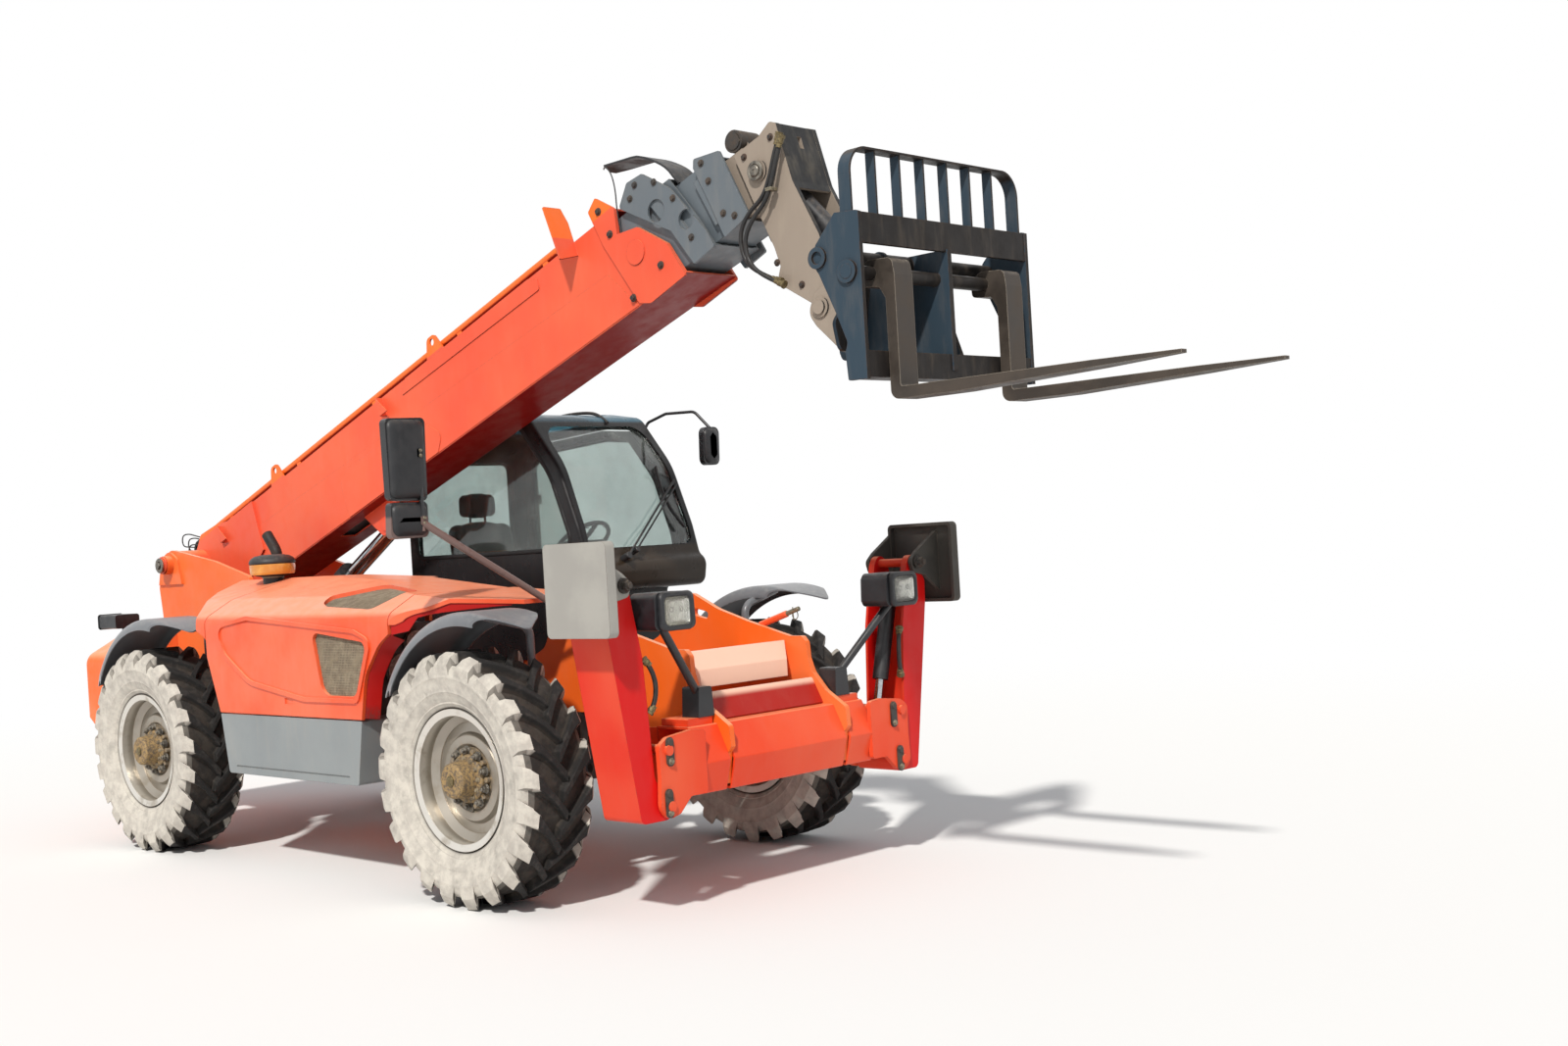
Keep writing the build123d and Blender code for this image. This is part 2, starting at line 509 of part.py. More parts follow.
def cab_parts():
    """Shell with its windows cut, roof, glass and the door in the left side."""
    y0, y1, wall = CAB_Y0, CAB_Y1, CAB_WALL
    hull = plate(CAB_SIDE, y0, y1)
    hull = fillet(hull.edges().filter_by(Plane.XZ).filter_by(lambda e: e.center().Z > 1700), 24)
    hull -= block(-700, 1100, y0 - 5, PLATE_Y + GAP, 880, CAB_STEP)
    hull -= plate(CAB_INSIDE, y0 + wall, y1 - wall) - block(-700, 1100, y0 - 5, PLATE_Y + GAP + wall, 880, CAB_STEP + wall)
    right_window = [(-560, 1672, 50), (-560, 2260, 90), (-400, 2376, 90), (250, 2408, 120), (490, 2384, 80),
                    (722, 2100, 400), (862, 1745, 60), (846, 1672, 40)]
    door = [(-500, 960, 50), (-520, 1700), (-520, 2240, 90), (-390, 2362, 90), (250, 2396, 120), (492, 2370, 80),
            (716, 2090, 400), (850, 1720, 300), (880, 1500, 50), (640, 1440, 60), (600, 960, 50)]
    hull -= plate(right_window, y0 - 20, y0 + wall + 5)
    hull -= plate(door, y1 - wall - 5, y1 + 5)
    screen = cross([(y0 + 48, 1668, 50), (y1 - 48, 1668, 50), (y1 - 66, 2385, 110), (y0 + 66, 2385, 110)], 450, 1100)
    hull -= screen
    rear_window = cross([(y0 + 80, 1500, 60), (y1 - 80, 1500, 60), (y1 - 80, 2260, 60), (y0 + 80, 2260, 60)],
                        -700, -560)
    hull -= rear_window
    roof_window = deck([(-260, y0 + 90, 60), (380, y0 + 90, 60), (380, y1 - 90, 60), (-260, y1 - 90, 60)],
                       2380, 2520)
    hull -= roof_window
    skin = plate([(x - 12 if x > 0 else x + 12, z - 12) + tuple(r) for x, z, *r in CAB_SIDE], y0 + 20, y1 - 20)
    core = plate([(x - 12 - GLASS_T if x > 0 else x + 12 + GLASS_T, z - 12 - GLASS_T) + tuple(r)
                  for x, z, *r in CAB_SIDE], y0, y1)
    sheet = skin - core
    for z in DOOR_HINGE_Z:
        x, y = DOOR_HINGE
        for z_ear in (z - 16, z + 62):
            hull += block(x - 14, x + 14, y1 - 12, y + 12, z_ear, z_ear + 14)
        hull += bar((x, y, z - 14), (x, y, z + 74), 6)
    m = 1.0
    front_glass = sheet & cross([(y0 + 48 + m, 1669, 50), (y1 - 48 - m, 1669, 50), (y1 - 66 - m, 2384, 110),
                                 (y0 + 66 + m, 2384, 110)], 450, 1100)
    rear_glass = cross([(y0 + 81, 1501, 59), (y1 - 81, 1501, 59), (y1 - 81, 2259, 59), (y0 + 81, 2259, 59)],
                       -628, -628 + GLASS_T)
    roof_glass = sheet & deck([(-259, y0 + 91, 60), (379, y0 + 91, 60), (379, y1 - 91, 60), (-259, y1 - 91, 60)],
                              2380, 2520)
    shrink = offset(outline(right_window), -1)
    right_glass = extrude(side(y0 + 24) * shrink, GLASS_T, dir=(0, -1, 0))
    door_body = extrude(side(y1 - 1) * offset(outline(door), -GAP), DOOR_T - 4, dir=(0, -1, 0))
    upper = [(-448, 1240, 60), (-448, 2220, 60), (-370, 2300, 60), (240, 2334, 100), (455, 2310, 60),
             (655, 2070, 380), (780, 1720, 250), (800, 1580, 50), (640, 1520, 80), (560, 1240, 60)]
    door_body -= plate(upper, y1 - 80, y1 + 10)
    door_glass = extrude(side(y1 - 18) * offset(outline(upper), -1), GLASS_T, dir=(0, -1, 0))
    for z in DOOR_HINGE_Z:
        x, y = DOOR_HINGE
        door_body += bar((x, y, z), (x, y, z + 60), 11)
        door_body += block(x, -430, y1 + 1, y + 4, z, z + 60) + block(-488, -430, y1 - 12, y1 + 5, z, z + 60)
        door_body -= bar((x, y, z - 5), (x, y, z + 65), 6 + RUN)
    door_body -= plate([(380, 1130, 10), (520, 1130, 10), (520, 1170, 10), (380, 1170, 10)], y1 - 14, y1 + 4)
    return hull, (front_glass, rear_glass, roof_glass, right_glass), door_body, door_glass


def seat():
    """Operator's seat: base, cushion, back and headrest."""
    y = PLATE_Y + SEAT_OFF
    base = block(-330, 60, y - 190, y + 190, 945.3, 1166)
    cushion = plate([(-360, 1162, 20), (-360, 1300, 50), (110, 1310, 60), (150, 1200, 40), (100, 1162, 20)],
                    y - 240, y + 240)
    back = plate([(-430, 1210, 30), (-540, 1850, 50), (-420, 1880, 50), (-285, 1220, 30)], y - 230, y + 230)
    rest = plate([(-545, 1900, 30), (-560, 2060, 40), (-460, 2075, 40), (-450, 1910, 30)], y - 130, y + 130)
    posts = both_about(block(-500, -484, y - 70, y - 56, 1830, 1940), y)
    return base + cushion + back + rest + posts


def both_about(shape, y):
    """The shape and its mirror image about a plane y."""
    return shape + mirror(shape, Plane(origin=(0, y, 0), z_dir=(0, 1, 0)))


def console():
    """Dashboard, steering column and wheel, joystick stand."""
    y = PLATE_Y + SEAT_OFF
    dash = plate([(560, 1476, 20), (905, 1476, 40), (912, 1590, 30), (760, 1640, 40), (600, 1580, 30)],
                 CAB_Y0 + 60, CAB_Y1 - 60)
    column = bar((640, y, 1480), (457, y, 1706), 36)
    ring = Location((455, y, 1708), (0, -39, 0)) * Torus(175, 13)
    spokes = Location((455, y, 1708), (0, -39, 0)) * (Box(340, 26, 14) + Box(26, 340, 14))
    stand = block(-200, 220, CAB_Y0 + 60, CAB_Y0 + 180, CAB_STEP + CAB_WALL + 0.3, 1360)
    stick = bar((120, CAB_Y0 + 120, 1350), (150, CAB_Y0 + 120, 1500), 12)
    stick += Pos(152, CAB_Y0 + 120, 1510) * Sphere(28)
    foot = block(530, 596, y - 60, y + 60, 945.3, 1490)
    socket = bar((660, y, 1455.3), (457, y, 1706), 36 + SEAT)
    return dash + foot - socket, column + ring + spokes, stand + stick


def mirrors():
    """Twin right-hand mirror on a long arm and single left-hand mirror on a bent tube."""
    x, y = 1450, -1285
    upper = cross([(y - 112, 1950, 26), (y + 106, 1945, 26), (y + 116, 2340, 26), (y - 118, 2335, 26)],
                  x - 30, x + 14)
    lower = cross([(y - 116, 1768, 30), (y + 106, 1772, 30), (y + 106, 1940, 22), (y - 108, 1940, 22)],
                  x - 34, x + 10)
    stem = bar((x + 26, -1222, 1800), (x + 26, -1222, 2180), 9) + block(x, x + 36, -1240, -1204, 2150, 2190)
    stem += block(x, x + 36, -1240, -1204, 1830, 1870)
    arm = tube_path([(x + 26, -1222, 1838), (1700, -700, 1447), (1760, -560, 1340)], [120], 17)
    foot = block(1700, 1820, -600, -PLATE_Y - SEAT, 1310, 1350) + bar((1762, -556, 1330), (1762, -556, 1380), 30)
    right = upper + lower + stem + arm + foot
    tube = tube_path([(530, CAB_Y1 + 13, 2330), (560, 1215, 2412), (700, 1230, 2452), (900, 1270, 2446),
                      (1010, 1290, 2330), (1012, 1290, 2240)], [30, 60, 60, 40], 9)
    head = cross([(1210, 2120, 40), (1345, 2120, 40), (1355, 2345, 40), (1220, 2345, 40)], 975, 1012)
    clamp = block(500, 560, CAB_Y1 + 0.3, CAB_Y1 + 16, 2290, 2370)
    return right, tube + head + clamp


def lamps():
    """Headlamps on raked posts, and tail lamps on the counterweight's shoulders."""
    solids = []
    for sign in (1, -1):
        y = sign * 806
        inner = sign * (PLATE_Y + 56)
        box = cross([(y - 128, 1294, 30), (y + 128, 1294, 30), (y + 120, 1460, 34), (y - 120, 1460, 34)], 2520, 2700)
        box = chamfer(box.faces().sort_by(Axis.X)[0].edges(), 24)
        post = bar((2612, y, 1300), (2505, inner, 960), 19)
        foot = cross([(inner - 52, 872 + SEAT), (inner + 52, 872 + SEAT), (inner + 42, 1010, 14), (inner - 42, 1010, 14)],
                     2440, 2545)
        solids.append(box + post + foot)
        tail = block(-2440, -2210, 790, 960, 1340, 1430, 18) + block(-2440, -2380, 780, 800, 1290 + SEAT, 1400)
        tail += block(-2440, -2380, 480, 790, 1290 + SEAT, 1306)
        solids.append(tail if sign > 0 else mirrored(tail))
    return solids


def precleaner():
    """Cyclone pre-cleaner on its intake pipe."""
    profile = [(0, 1500), (CLEANER_R, 1500), (CLEANER_R, 1618), (96, 1624), (128, 1640), (133, 1692), (121, 1700),
               (125, 1708), (119, 1728), (70, 1742), (0, 1746)]
    bowl = revolve(Plane.XZ * make_face(Polyline(*profile, close=True)), Axis.Z)
    return Pos(*CLEANER, 0) * bowl


def exhaust():
    """Curved exhaust stub."""
    x, y = STACK
    line = [(x, y, 1500), (x, y, 1770), (x - 100, y, 1880)]
    bore = [(x, y, 1640), (x, y, 1770), (x - 110, y, 1891)]
    return tube_path(line, [90], STACK_R) - tube_path(bore, [90], STACK_R - 5)


# ---------------------------------------------------------------- boom
def boom_box(s0, s1_top, half_w, bottom, top, wall, end=None):
    """One boom section: closed rectangular tube from s0 with a shaped front end."""
    end = end or [(s1_top, top), (s1_top, bottom)]
    shape = plate([(s0, bottom), (s0, top)] + end, -half_w, half_w)
    return shape - plate([(s0 - 50, bottom + wall), (s0 - 50, top - wall), (9000, top - wall),
                          (9000, bottom + wall)], -half_w + wall, half_w - wall)


def boom_base():
    """Base section: box, pivot tube, end doublers, crease, lift lugs, conduit and eyes."""
    end = [(4526, BOOM_TOP), (4493, 12), (4633, -26), (4782, -197), (4833, BOOM_BOTTOM)]
    box = boom_box(60, None, BOOM_HALF_W, BOOM_BOTTOM, BOOM_TOP, BOOM_WALL, end)
    box -= plate([(0, -500), (0, -90), (330, -400), (330, -500)], -300, 300)
    tail = [(-100, -40, 60), (-90, 70, 60), (60, 185, 40), (270, 172, 40), (420, 139), (760, 139), (760, -200),
            (330, -395), (230, -330)]
    for sign in (1, -1):
        y0, y1 = sorted((sign * (BOOM_HALF_W - 0.0), sign * (BOOM_HALF_W + 18)))
        box += plate(tail, y0, y1)
    box += block(60, 80, -BOOM_HALF_W, BOOM_HALF_W, -150, 180)
    box += pin_y(0, 0, 92, -TOWER_IN + 4, TOWER_IN - 4)
    box += pin_y(0, 0, PIVOT_R, -TOWER_IN - TOWER_T - 70, TOWER_IN + TOWER_T + 70)
    box += both(pin_y(0, 0, 58, TOWER_IN + TOWER_T + 46, TOWER_IN + TOWER_T + 58))
    crease = plate([(290, -19), (4343, -132), (4480, -376), (340, -376)], BOOM_HALF_W, BOOM_HALF_W + 3)
    box += both(crease)
    doubler = plate([(4424, 256, 10), (4526, 142, 20), (4493, 12), (4633, -26, 20), (4782, -197, 20),
                     (4833, -397, 12), (4567, -410, 40), (4495, -372, 20), (4380, 10), (4350, 215, 10)],
                    BOOM_HALF_W, BOOM_HALF_W + 12)
    doubler += bar((4576, BOOM_HALF_W + 12, -135), (4576, BOOM_HALF_W + 18, -135), 62)
    box += both(doubler)
    box += block(4352, 4430, -BOOM_HALF_W, BOOM_HALF_W, BOOM_TOP - 2, BOOM_TOP + 60)
    guard = cross([(-310, 30, 8), (-BOOM_HALF_W, 60), (-BOOM_HALF_W, 250), (-200, 330, 8), (-320, 330, 8)],
                  4180, 4188)
    box += guard
    for sign in (1, -1):
        y0, y1 = sorted((sign * 58, sign * 84))
        s, h = LIFT_EYE
        box += plate([(s - 190, BOOM_BOTTOM + 2), (s + 190, BOOM_BOTTOM + 2), (s + 50, h - 52, 40),
                      (s - 50, h - 52, 40)], y0, y1)
    box += both(pin_y(*LIFT_EYE, 35, 52, 92))
    box -= block(1420, 2010, -56, 56, BOOM_BOTTOM - 5, BOOM_BOTTOM + BOOM_WALL + 5)
    conduit_y = -BOOM_HALF_W + 40
    box += tube_path([(130, conduit_y, 80), (190, conduit_y, 184), (4020, conduit_y, 184),
                      (4100, conduit_y, 120)], [50, 50], 22)
    for s in (400, 1300, 2200, 3100, 3900):
        box += block(s, s + 40, conduit_y - 16, conduit_y + 40, BOOM_TOP - 2, 176)
    for s in (1080, 2900):
        box += plate([(s - 84, BOOM_TOP - 2), (s + 84, BOOM_TOP - 2), (s + 36, 252, 34), (s - 36, 252, 34)],
                     -BOOM_HALF_W, -BOOM_HALF_W + 12) - pin_y(s, 216, 20, -250, 0)
    strip = plate([(2530, 62), (2590, BOOM_TOP), (3790, BOOM_TOP), (3815, 116, 14), (3852, 112, 10), (3852, 46, 14)],
                  BOOM_HALF_W, BOOM_HALF_W + 5)
    cheek = plate([(1740, -376), (1732, -160, 50), (1830, -96, 60), (2610, -128, 60), (2776, -292, 50), (2700, -376)],
                  BOOM_HALF_W, BOOM_HALF_W + 7)
    box += both(strip) + both(cheek)
    for s in (330, 2330):   # folded clips of the hose run on the right flank
        box += plate([(s, 20), (s, BOOM_TOP - 4), (s + 8, BOOM_TOP - 4), (s + 8, 20)], -BOOM_HALF_W - 44, -BOOM_HALF_W)
        box += plate([(s, 20, 6), (s, BOOM_TOP - 4), (s + 78, 20)], -BOOM_HALF_W - 50, -BOOM_HALF_W - 44)
    return box


def wear_pads(s0, half_w, bottom, top, around):
    """Slide pads round a section's rear end, reaching the inside of the section around it."""
    out_w, out_bottom, out_top = around
    pads = plate([(s0, top - 2), (s0, out_top - SEAT), (s0 + 160, out_top - SEAT), (s0 + 160, top - 2)],
                 BOOM_HALF_W - 145, BOOM_HALF_W - 85)
    pads += plate([(s0, out_bottom + SEAT), (s0, bottom + 2), (s0 + 160, bottom + 2), (s0 + 160, out_bottom + SEAT)],
                  BOOM_HALF_W - 109, BOOM_HALF_W - 65)
    pads += plate([(s0, bottom + 60), (s0, bottom + 200), (s0 + 160, bottom + 200), (s0 + 160, bottom + 60)],
                  half_w - 2, out_w - SEAT)
    return both(pads)


def section(s0, half_w, bottom, top, wall, end, cheek, holes, cheek_y, around):
    """Inner boom section with its pair of end cheeks and its rear slide pads."""
    body = boom_box(s0, None, half_w, bottom, top, wall, end) + wear_pads(s0, half_w, bottom, top, around)
    flank = plate(cheek, cheek_y, cheek_y + 14)
    for s, h, r in holes:
        flank -= pin_y(s, h, r, cheek_y - 5, cheek_y + 40)
    body += both(flank)
    (s_top, _), (s_low, _) = end[0], end[-1]
    pads = plate([(s_top - 150, top - 60), (s_top - 60, top - 60), (s_low - 85, bottom + 60),
                  (s_low - 165, bottom + 60)], half_w - 2, cheek_y + 2)
    return body + both(pads)


def boom_head():
    """Fourth section with the head: side plates, front plate, bosses for the two pins."""
    end = [(5330, 2), (5330, -309)]
    half_w = SECTION_HALF_W[2]
    around = (SECTION_HALF_W[1] - SECTION_WALL, -318, 42)
    body = boom_box(650, None, half_w, -309, 2, SECTION_WALL, end) + wear_pads(650, half_w, -309, 2, around)
    cheek = [(5290, -20, 10), (5459, -19, 10), (5542, 8, 20), (5573, -17), (5556, -306, 40), (5596, -601, 30),
             (5578, -900, 40), (5560, -975, 50), (5455, -975, 55), (5440, -865, 30), (5293, -684, 12),
             (5341, -623), (5342, -526, 60), (5312, -264, 20)]
    side_plate = plate(cheek, HEAD_HALF_W - HEAD_PLATE, HEAD_HALF_W)
    body += both(side_plate)
    inner = HEAD_HALF_W - HEAD_PLATE + 1
    front_plate = plate([(5552, -4), (5572, -18), (5555, -306), (5557, -340), (5543, -340), (5540, -306)],
                        -inner, inner)
    front_plate -= plate([(5400, -70, 8), (5700, -70, 8), (5700, -130, 8), (5400, -130, 8)], -14, 14)
    body += front_plate
    body += plate([(5300, -22), (5459, -21), (5459, -35), (5300, -36)], -inner, inner)
    body += plate([(5296, -684), (5310, -690), (5446, -862), (5440, -868)], -inner, inner)
    body += plate([(5322, -305), (5345, -300), (5352, -620), (5340, -620)], -inner, inner)
    for (s, h), r in ((TILT_FOOT, 52), (HEAD_PIN, 66)):
        body += both(pin_y(s, h, r, HEAD_HALF_W - HEAD_PLATE - 12, HEAD_HALF_W + 8))
    body += pin_y(*TILT_FOOT, 30, -HEAD_HALF_W - 22, HEAD_HALF_W + 22)
    body += pin_y(5263, 84, 50, -58, 58) + plate([(5222, -6), (5218, 60), (5310, 60), (5330, -6)], -30, 30)
    return body - pin_y(*HEAD_PIN, 32 + RUN, -300, 300)


def cylinder(foot, eye, barrel_r, rod_r, pin_r, half, gland, tail):
    """Hydraulic cylinder between two pins in XZ: (barrel, rod).

    half is half the width of its eyes; gland is where the barrel ends and tail where the rod's
    inner end lies, both measured from the foot pin."""
    length = hypot(eye[0] - foot[0], eye[1] - foot[1])
    angle = degrees(atan2(eye[1] - foot[1], eye[0] - foot[0]))
    place = Pos(foot[0], 0, foot[1]) * Rot(0, -angle, 0)
    head = barrel_r * 1.6
    barrel = bar((20, 0, 0), (head, 0, 0), barrel_r * 0.62) + bar((head - 12, 0, 0), (gland, 0, 0), barrel_r)
    barrel += bar((gland - barrel_r, 0, 0), (gland, 0, 0), barrel_r + 7)
    barrel += bar((0, -half, 0), (0, half, 0), barrel_r * 0.92)
    barrel -= bar((head + 4, 0, 0), (gland + 5, 0, 0), rod_r + 0.06)
    barrel -= bar((0, -200, 0), (0, 200, 0), pin_r + RUN)
    rod = bar((tail, 0, 0), (length, 0, 0), rod_r)
    rod += bar((length, -half, 0), (length, half, 0), rod_r + 2)
    return place * barrel, place * rod


# ---------------------------------------------------------------- carriage
def quick_hitch():
    """Hitch frame that pivots on the head: outer plates, lever ears, cross plate and hooks."""
    hx, hz = boom_point(*HEAD_PIN)
    kx, kz = boom_point(*polar(HEAD_PIN, LEVER_R, LEVER_ANGLE))
    cheek = [(hx - 72, hz - 20, 60), (hx - 30, hz + 76, 60), (3300, 2830, 30), (3392, 2850, 20),
             (3398, 2772, 20), (3340, 2700, 30), (3330, 2520, 30), (3310, 2410, 40), (3235, 2405, 45),
             (3190, 2480, 40), (hx - 30, hz - 80, 60)]
    outer = plate(cheek, HEAD_HALF_W + 16, HEAD_HALF_W + 40)
    hitch = both(outer)
    ear = [(hx - 62, hz - 30, 55), (hx - 40, hz + 56, 50), (kx - 46, kz + 10, 30), (kx - 10, kz + 46, 30),
           (kx + 46, kz + 14, 30), (3345, 2760), (3345, 2560), (hx + 30, hz - 60, 50)]
    hitch += both(plate(ear, 56, 84))
    hitch += block(3330, 3352, -HEAD_HALF_W - 40, HEAD_HALF_W + 40, 2470, 2800)
    hitch += pin_y(hx, hz, 32, -HEAD_HALF_W - 60, HEAD_HALF_W + 60)
    hitch += both(pin_y(hx, hz, 46, HEAD_HALF_W + 40, HEAD_HALF_W + 50))
    hitch += both(pin_y(kx, kz, 28, 50, 92))
    return hitch - pin_y(*LOCK_PIN, LOCK_R + RUN, -400, 400)


LOCK_R = 24
LOCK_PIN = (3262, 2462)
CROSS_TUBE = (3446, 2804)


def carriage():
    """Fork carriage: cheeks, cross tube, beams, middle plate, shaft and the load guard."""
    w = CARRIAGE_HALF
    cheek = [(3650, 2966), (3542, 2974, 10), (3438, 2862, 20), (3400, 2804, 40), (3445, 2738, 20), (3522, 2569, 30),
             (3573, 2441, 30), (3559, 2400, 10), (3567, 2286, 8), (3664, 2284), (3664, 2960)]
    frame = both(plate(cheek, w - 20, w))
    frame += pin_y(*CROSS_TUBE, 45, -w - 12, w + 12, 26)
    frame += block(3640, 3660, -w + 20, w - 20, 2836, 2960)
    frame += block(3560, 3660, -w + 20, w - 20, 2292, 2400)
    frame += block(3400, 3668, -13, 13, 2330, 2846)
    frame -= pin_y(*SHAFT, SHAFT_R, -30, 30)
    for sign in (1, -1):   # rear ears that take the hitch's lock pin
        y0, y1 = sorted((sign * (HEAD_HALF_W + 46), sign * (HEAD_HALF_W + 66)))
        frame += plate([(3206, 2424, 30), (3240, 2512, 30), (3372, 2560, 40), (3398, 2700, 40), (3396, 2846, 40),
                        (3470, 2862, 40), (3520, 2780, 30), (3524, 2540), (3572, 2400), (3572, 2298),
                        (3420, 2390, 60)], y0, y1)
    root = HEAD_HALF_W + 60
    wing = cross([(root, 2428), (392, 2440, 40), (420, 2560, 40), (330, 2668, 30), (root, 2730)], 3352, 3370)
    wing += pin_x(300, 2556, 62, 3344, 3378)
    frame += both(wing - pin_x(300, 2556, 44, 3300, 3400))
    frame += pin_y(*LOCK_PIN, LOCK_R, -HEAD_HALF_W - 90, HEAD_HALF_W + 90)
    frame += both(pin_y(*LOCK_PIN, 40, HEAD_HALF_W + 66, HEAD_HALF_W + 78))
    frame += pin_y(*SHAFT, SHAFT_R, -w - 16, w + 16)
    frame += both(pin_y(*SHAFT, 48, w, w + 14))
    rail_t, rail_w = 10, 60
    arch_out = [(-w + 4, 2900), (-w + 4, 3238, 110), (w - 4, 3238, 110), (w - 4, 2900)]
    arch_in = [(-w + 4 + rail_t, 2890), (-w + 4 + rail_t, 3238 - rail_t, 100), (w - 4 - rail_t, 3238 - rail_t, 100),
               (w - 4 - rail_t, 2890)]
    frame += cross(arch_out, 3570, 3570 + rail_w) - cross(arch_in, 3560, 3640 + rail_w)
    for i in range(6):
        y = (i - 2.5) * 165
        frame += block(3575, 3620, y - 5, y + 5, 2940, 3230)
    frame += block(3570, 3642, -w + 20, w - 20, 2940, 2952)
    return frame


def fork(y):
    """Pallet fork hung on the shaft: hook, shank, heel and a tapered blade."""
    z_low = 2200
    x_face = SHAFT[0] + 70
    tip_x = x_face + 50 + FORK_LENGTH
    side_view = [(x_face, z_low, 40), (x_face + 320, z_low), (tip_x, z_low + FORK_T - 14), (tip_x, z_low + FORK_T),
                 (x_face + FORK_T, z_low + FORK_T, 12), (x_face + FORK_T, SHAFT[1] - 20),
                 (x_face + 40, SHAFT[1] + 50, 30), (SHAFT[0] - 10, SHAFT[1] + 58, 40),
                 (SHAFT[0] - 62, SHAFT[1] + 20, 40), (SHAFT[0] - 56, SHAFT[1] - 50, 20),
                 (SHAFT[0] + 40, SHAFT[1] - 60), (x_face, SHAFT[1] - 110)]
    body = plate(side_view, y - FORK_W / 2, y + FORK_W / 2)
    body -= pin_y(*SHAFT, SHAFT_R + RUN, y - FORK_W, y + FORK_W)
    trim = deck([(tip_x - 330, FORK_W / 2), (tip_x - 60, 26), (tip_x + 20, 16), (tip_x + 20, 200),
                 (tip_x - 330, 200)], z_low - 20, z_low + 100)
    body -= Pos(0, y, 0) * trim
    return body - Pos(0, y, 0) * mirrored(trim)


# ---------------------------------------------------------------- stabilisers
def leg():
    """Left stabiliser leg: channel open towards the middle, ears for the pad."""
    py, pz = LEG_PIN
    wall = 14
    outer = [(py - 60, pz, 50), (py - 20, pz - 62, 50), (985, 455, 30), (1126, 1300), (1130, 1400, 40),
             (PAD_PIN[0] + 40, PAD_PIN[1] + 20, 40), (PAD_PIN[0] - 20, PAD_PIN[1] + 50, 40),
             (PAD_PIN[0] - 55, PAD_PIN[1] - 10, 40), (968, 1400, 40), (925, 1180), (892, 640, 60), (850, 590, 40),
             (py - 52, pz + 40, 40)]
    body = cross(outer, LEG_X0, LEG_X1)
    hollow = [(600, 590), (972, 480), (1110, 1300), (1112, 1420), (600, 1420)]
    body -= cross(hollow, LEG_X0 + wall, LEG_X1 - wall)
    body -= block(LEG_X0 + 36, LEG_X1 - 36, 700, 1200, 1410, 1700)
    body -= pin_x(py, pz, 24 + RUN, LEG_X0 - 20, LEG_X1 + 20)
    body += pin_x(*leg_anchor(), 18, LEG_X0 + 2, LEG_X1 - 2)
    return body + pin_x(*PAD_PIN, 22, LEG_X0 - 30, LEG_X1 + 30)


def leg_anchor():
    """Cylinder's pin in the leg, (y, z)."""
    return LEG_PIN[0] + 160, LEG_PIN[1] + LEG_ANCHOR


def pad():
    """Left foot plate: square dished plate with two side ears on the leg's top pin."""
    x_mid = (LEG_X0 + LEG_X1) / 2 + 60
    face_y, z = 1238, 1492
    corners = ((-1, -1), (1, -1), (1, 1), (-1, 1))
    foot = plate([(x_mid + 200 * i, z + 205 * j, 26) for i, j in corners], face_y - 52, face_y)
    foot -= plate([(x_mid + 184 * i, z + 189 * j, 16) for i, j in corners], face_y - 60, face_y - 14)
    for x0 in (LEG_X0 - 26, LEG_X1 + LEG_GAP):
        foot += cross([(face_y - 10, z - 150), (PAD_PIN[0] + 60, z - 60), (PAD_PIN[0] - 30, PAD_PIN[1] - 50, 30),
                       (PAD_PIN[0] - 52, PAD_PIN[1] + 10, 30), (PAD_PIN[0], PAD_PIN[1] + 54, 30),
                       (face_y - 10, z + 170)], x0, x0 + 20)
    foot -= pin_x(*PAD_PIN, 22 + RUN, LEG_X0 - 60, LEG_X1 + 60)
    return foot


def leg_cylinder():
    """Stabiliser cylinder in the leg, from the beam's upper pin to the leg: (barrel, rod)."""
    ay, az = leg_anchor()
    uy, uz = ROD_PIN
    x = (LEG_X0 + LEG_X1) / 2
    a, u = Vector(x, ay, az), Vector(x, uy, uz)
    d = (u - a).normalized()
    barrel = bar(tuple(a + d * 20), tuple(a + d * 60), 28) + bar(tuple(a + d * 50), tuple(a + d * 470), 40)
    barrel += pin_x(ay, az, 36, x - 30, x + 30)
    barrel -= bar(tuple(a + d * 66), tuple(a + d * 480), 22.06)
    barrel -= pin_x(ay, az, 18 + RUN, x - 80, x + 80)
    rod = bar(tuple(a + d * 80), tuple(u), 22) + pin_x(uy, uz, 34, x - 28, x + 28)
    return barrel, rod


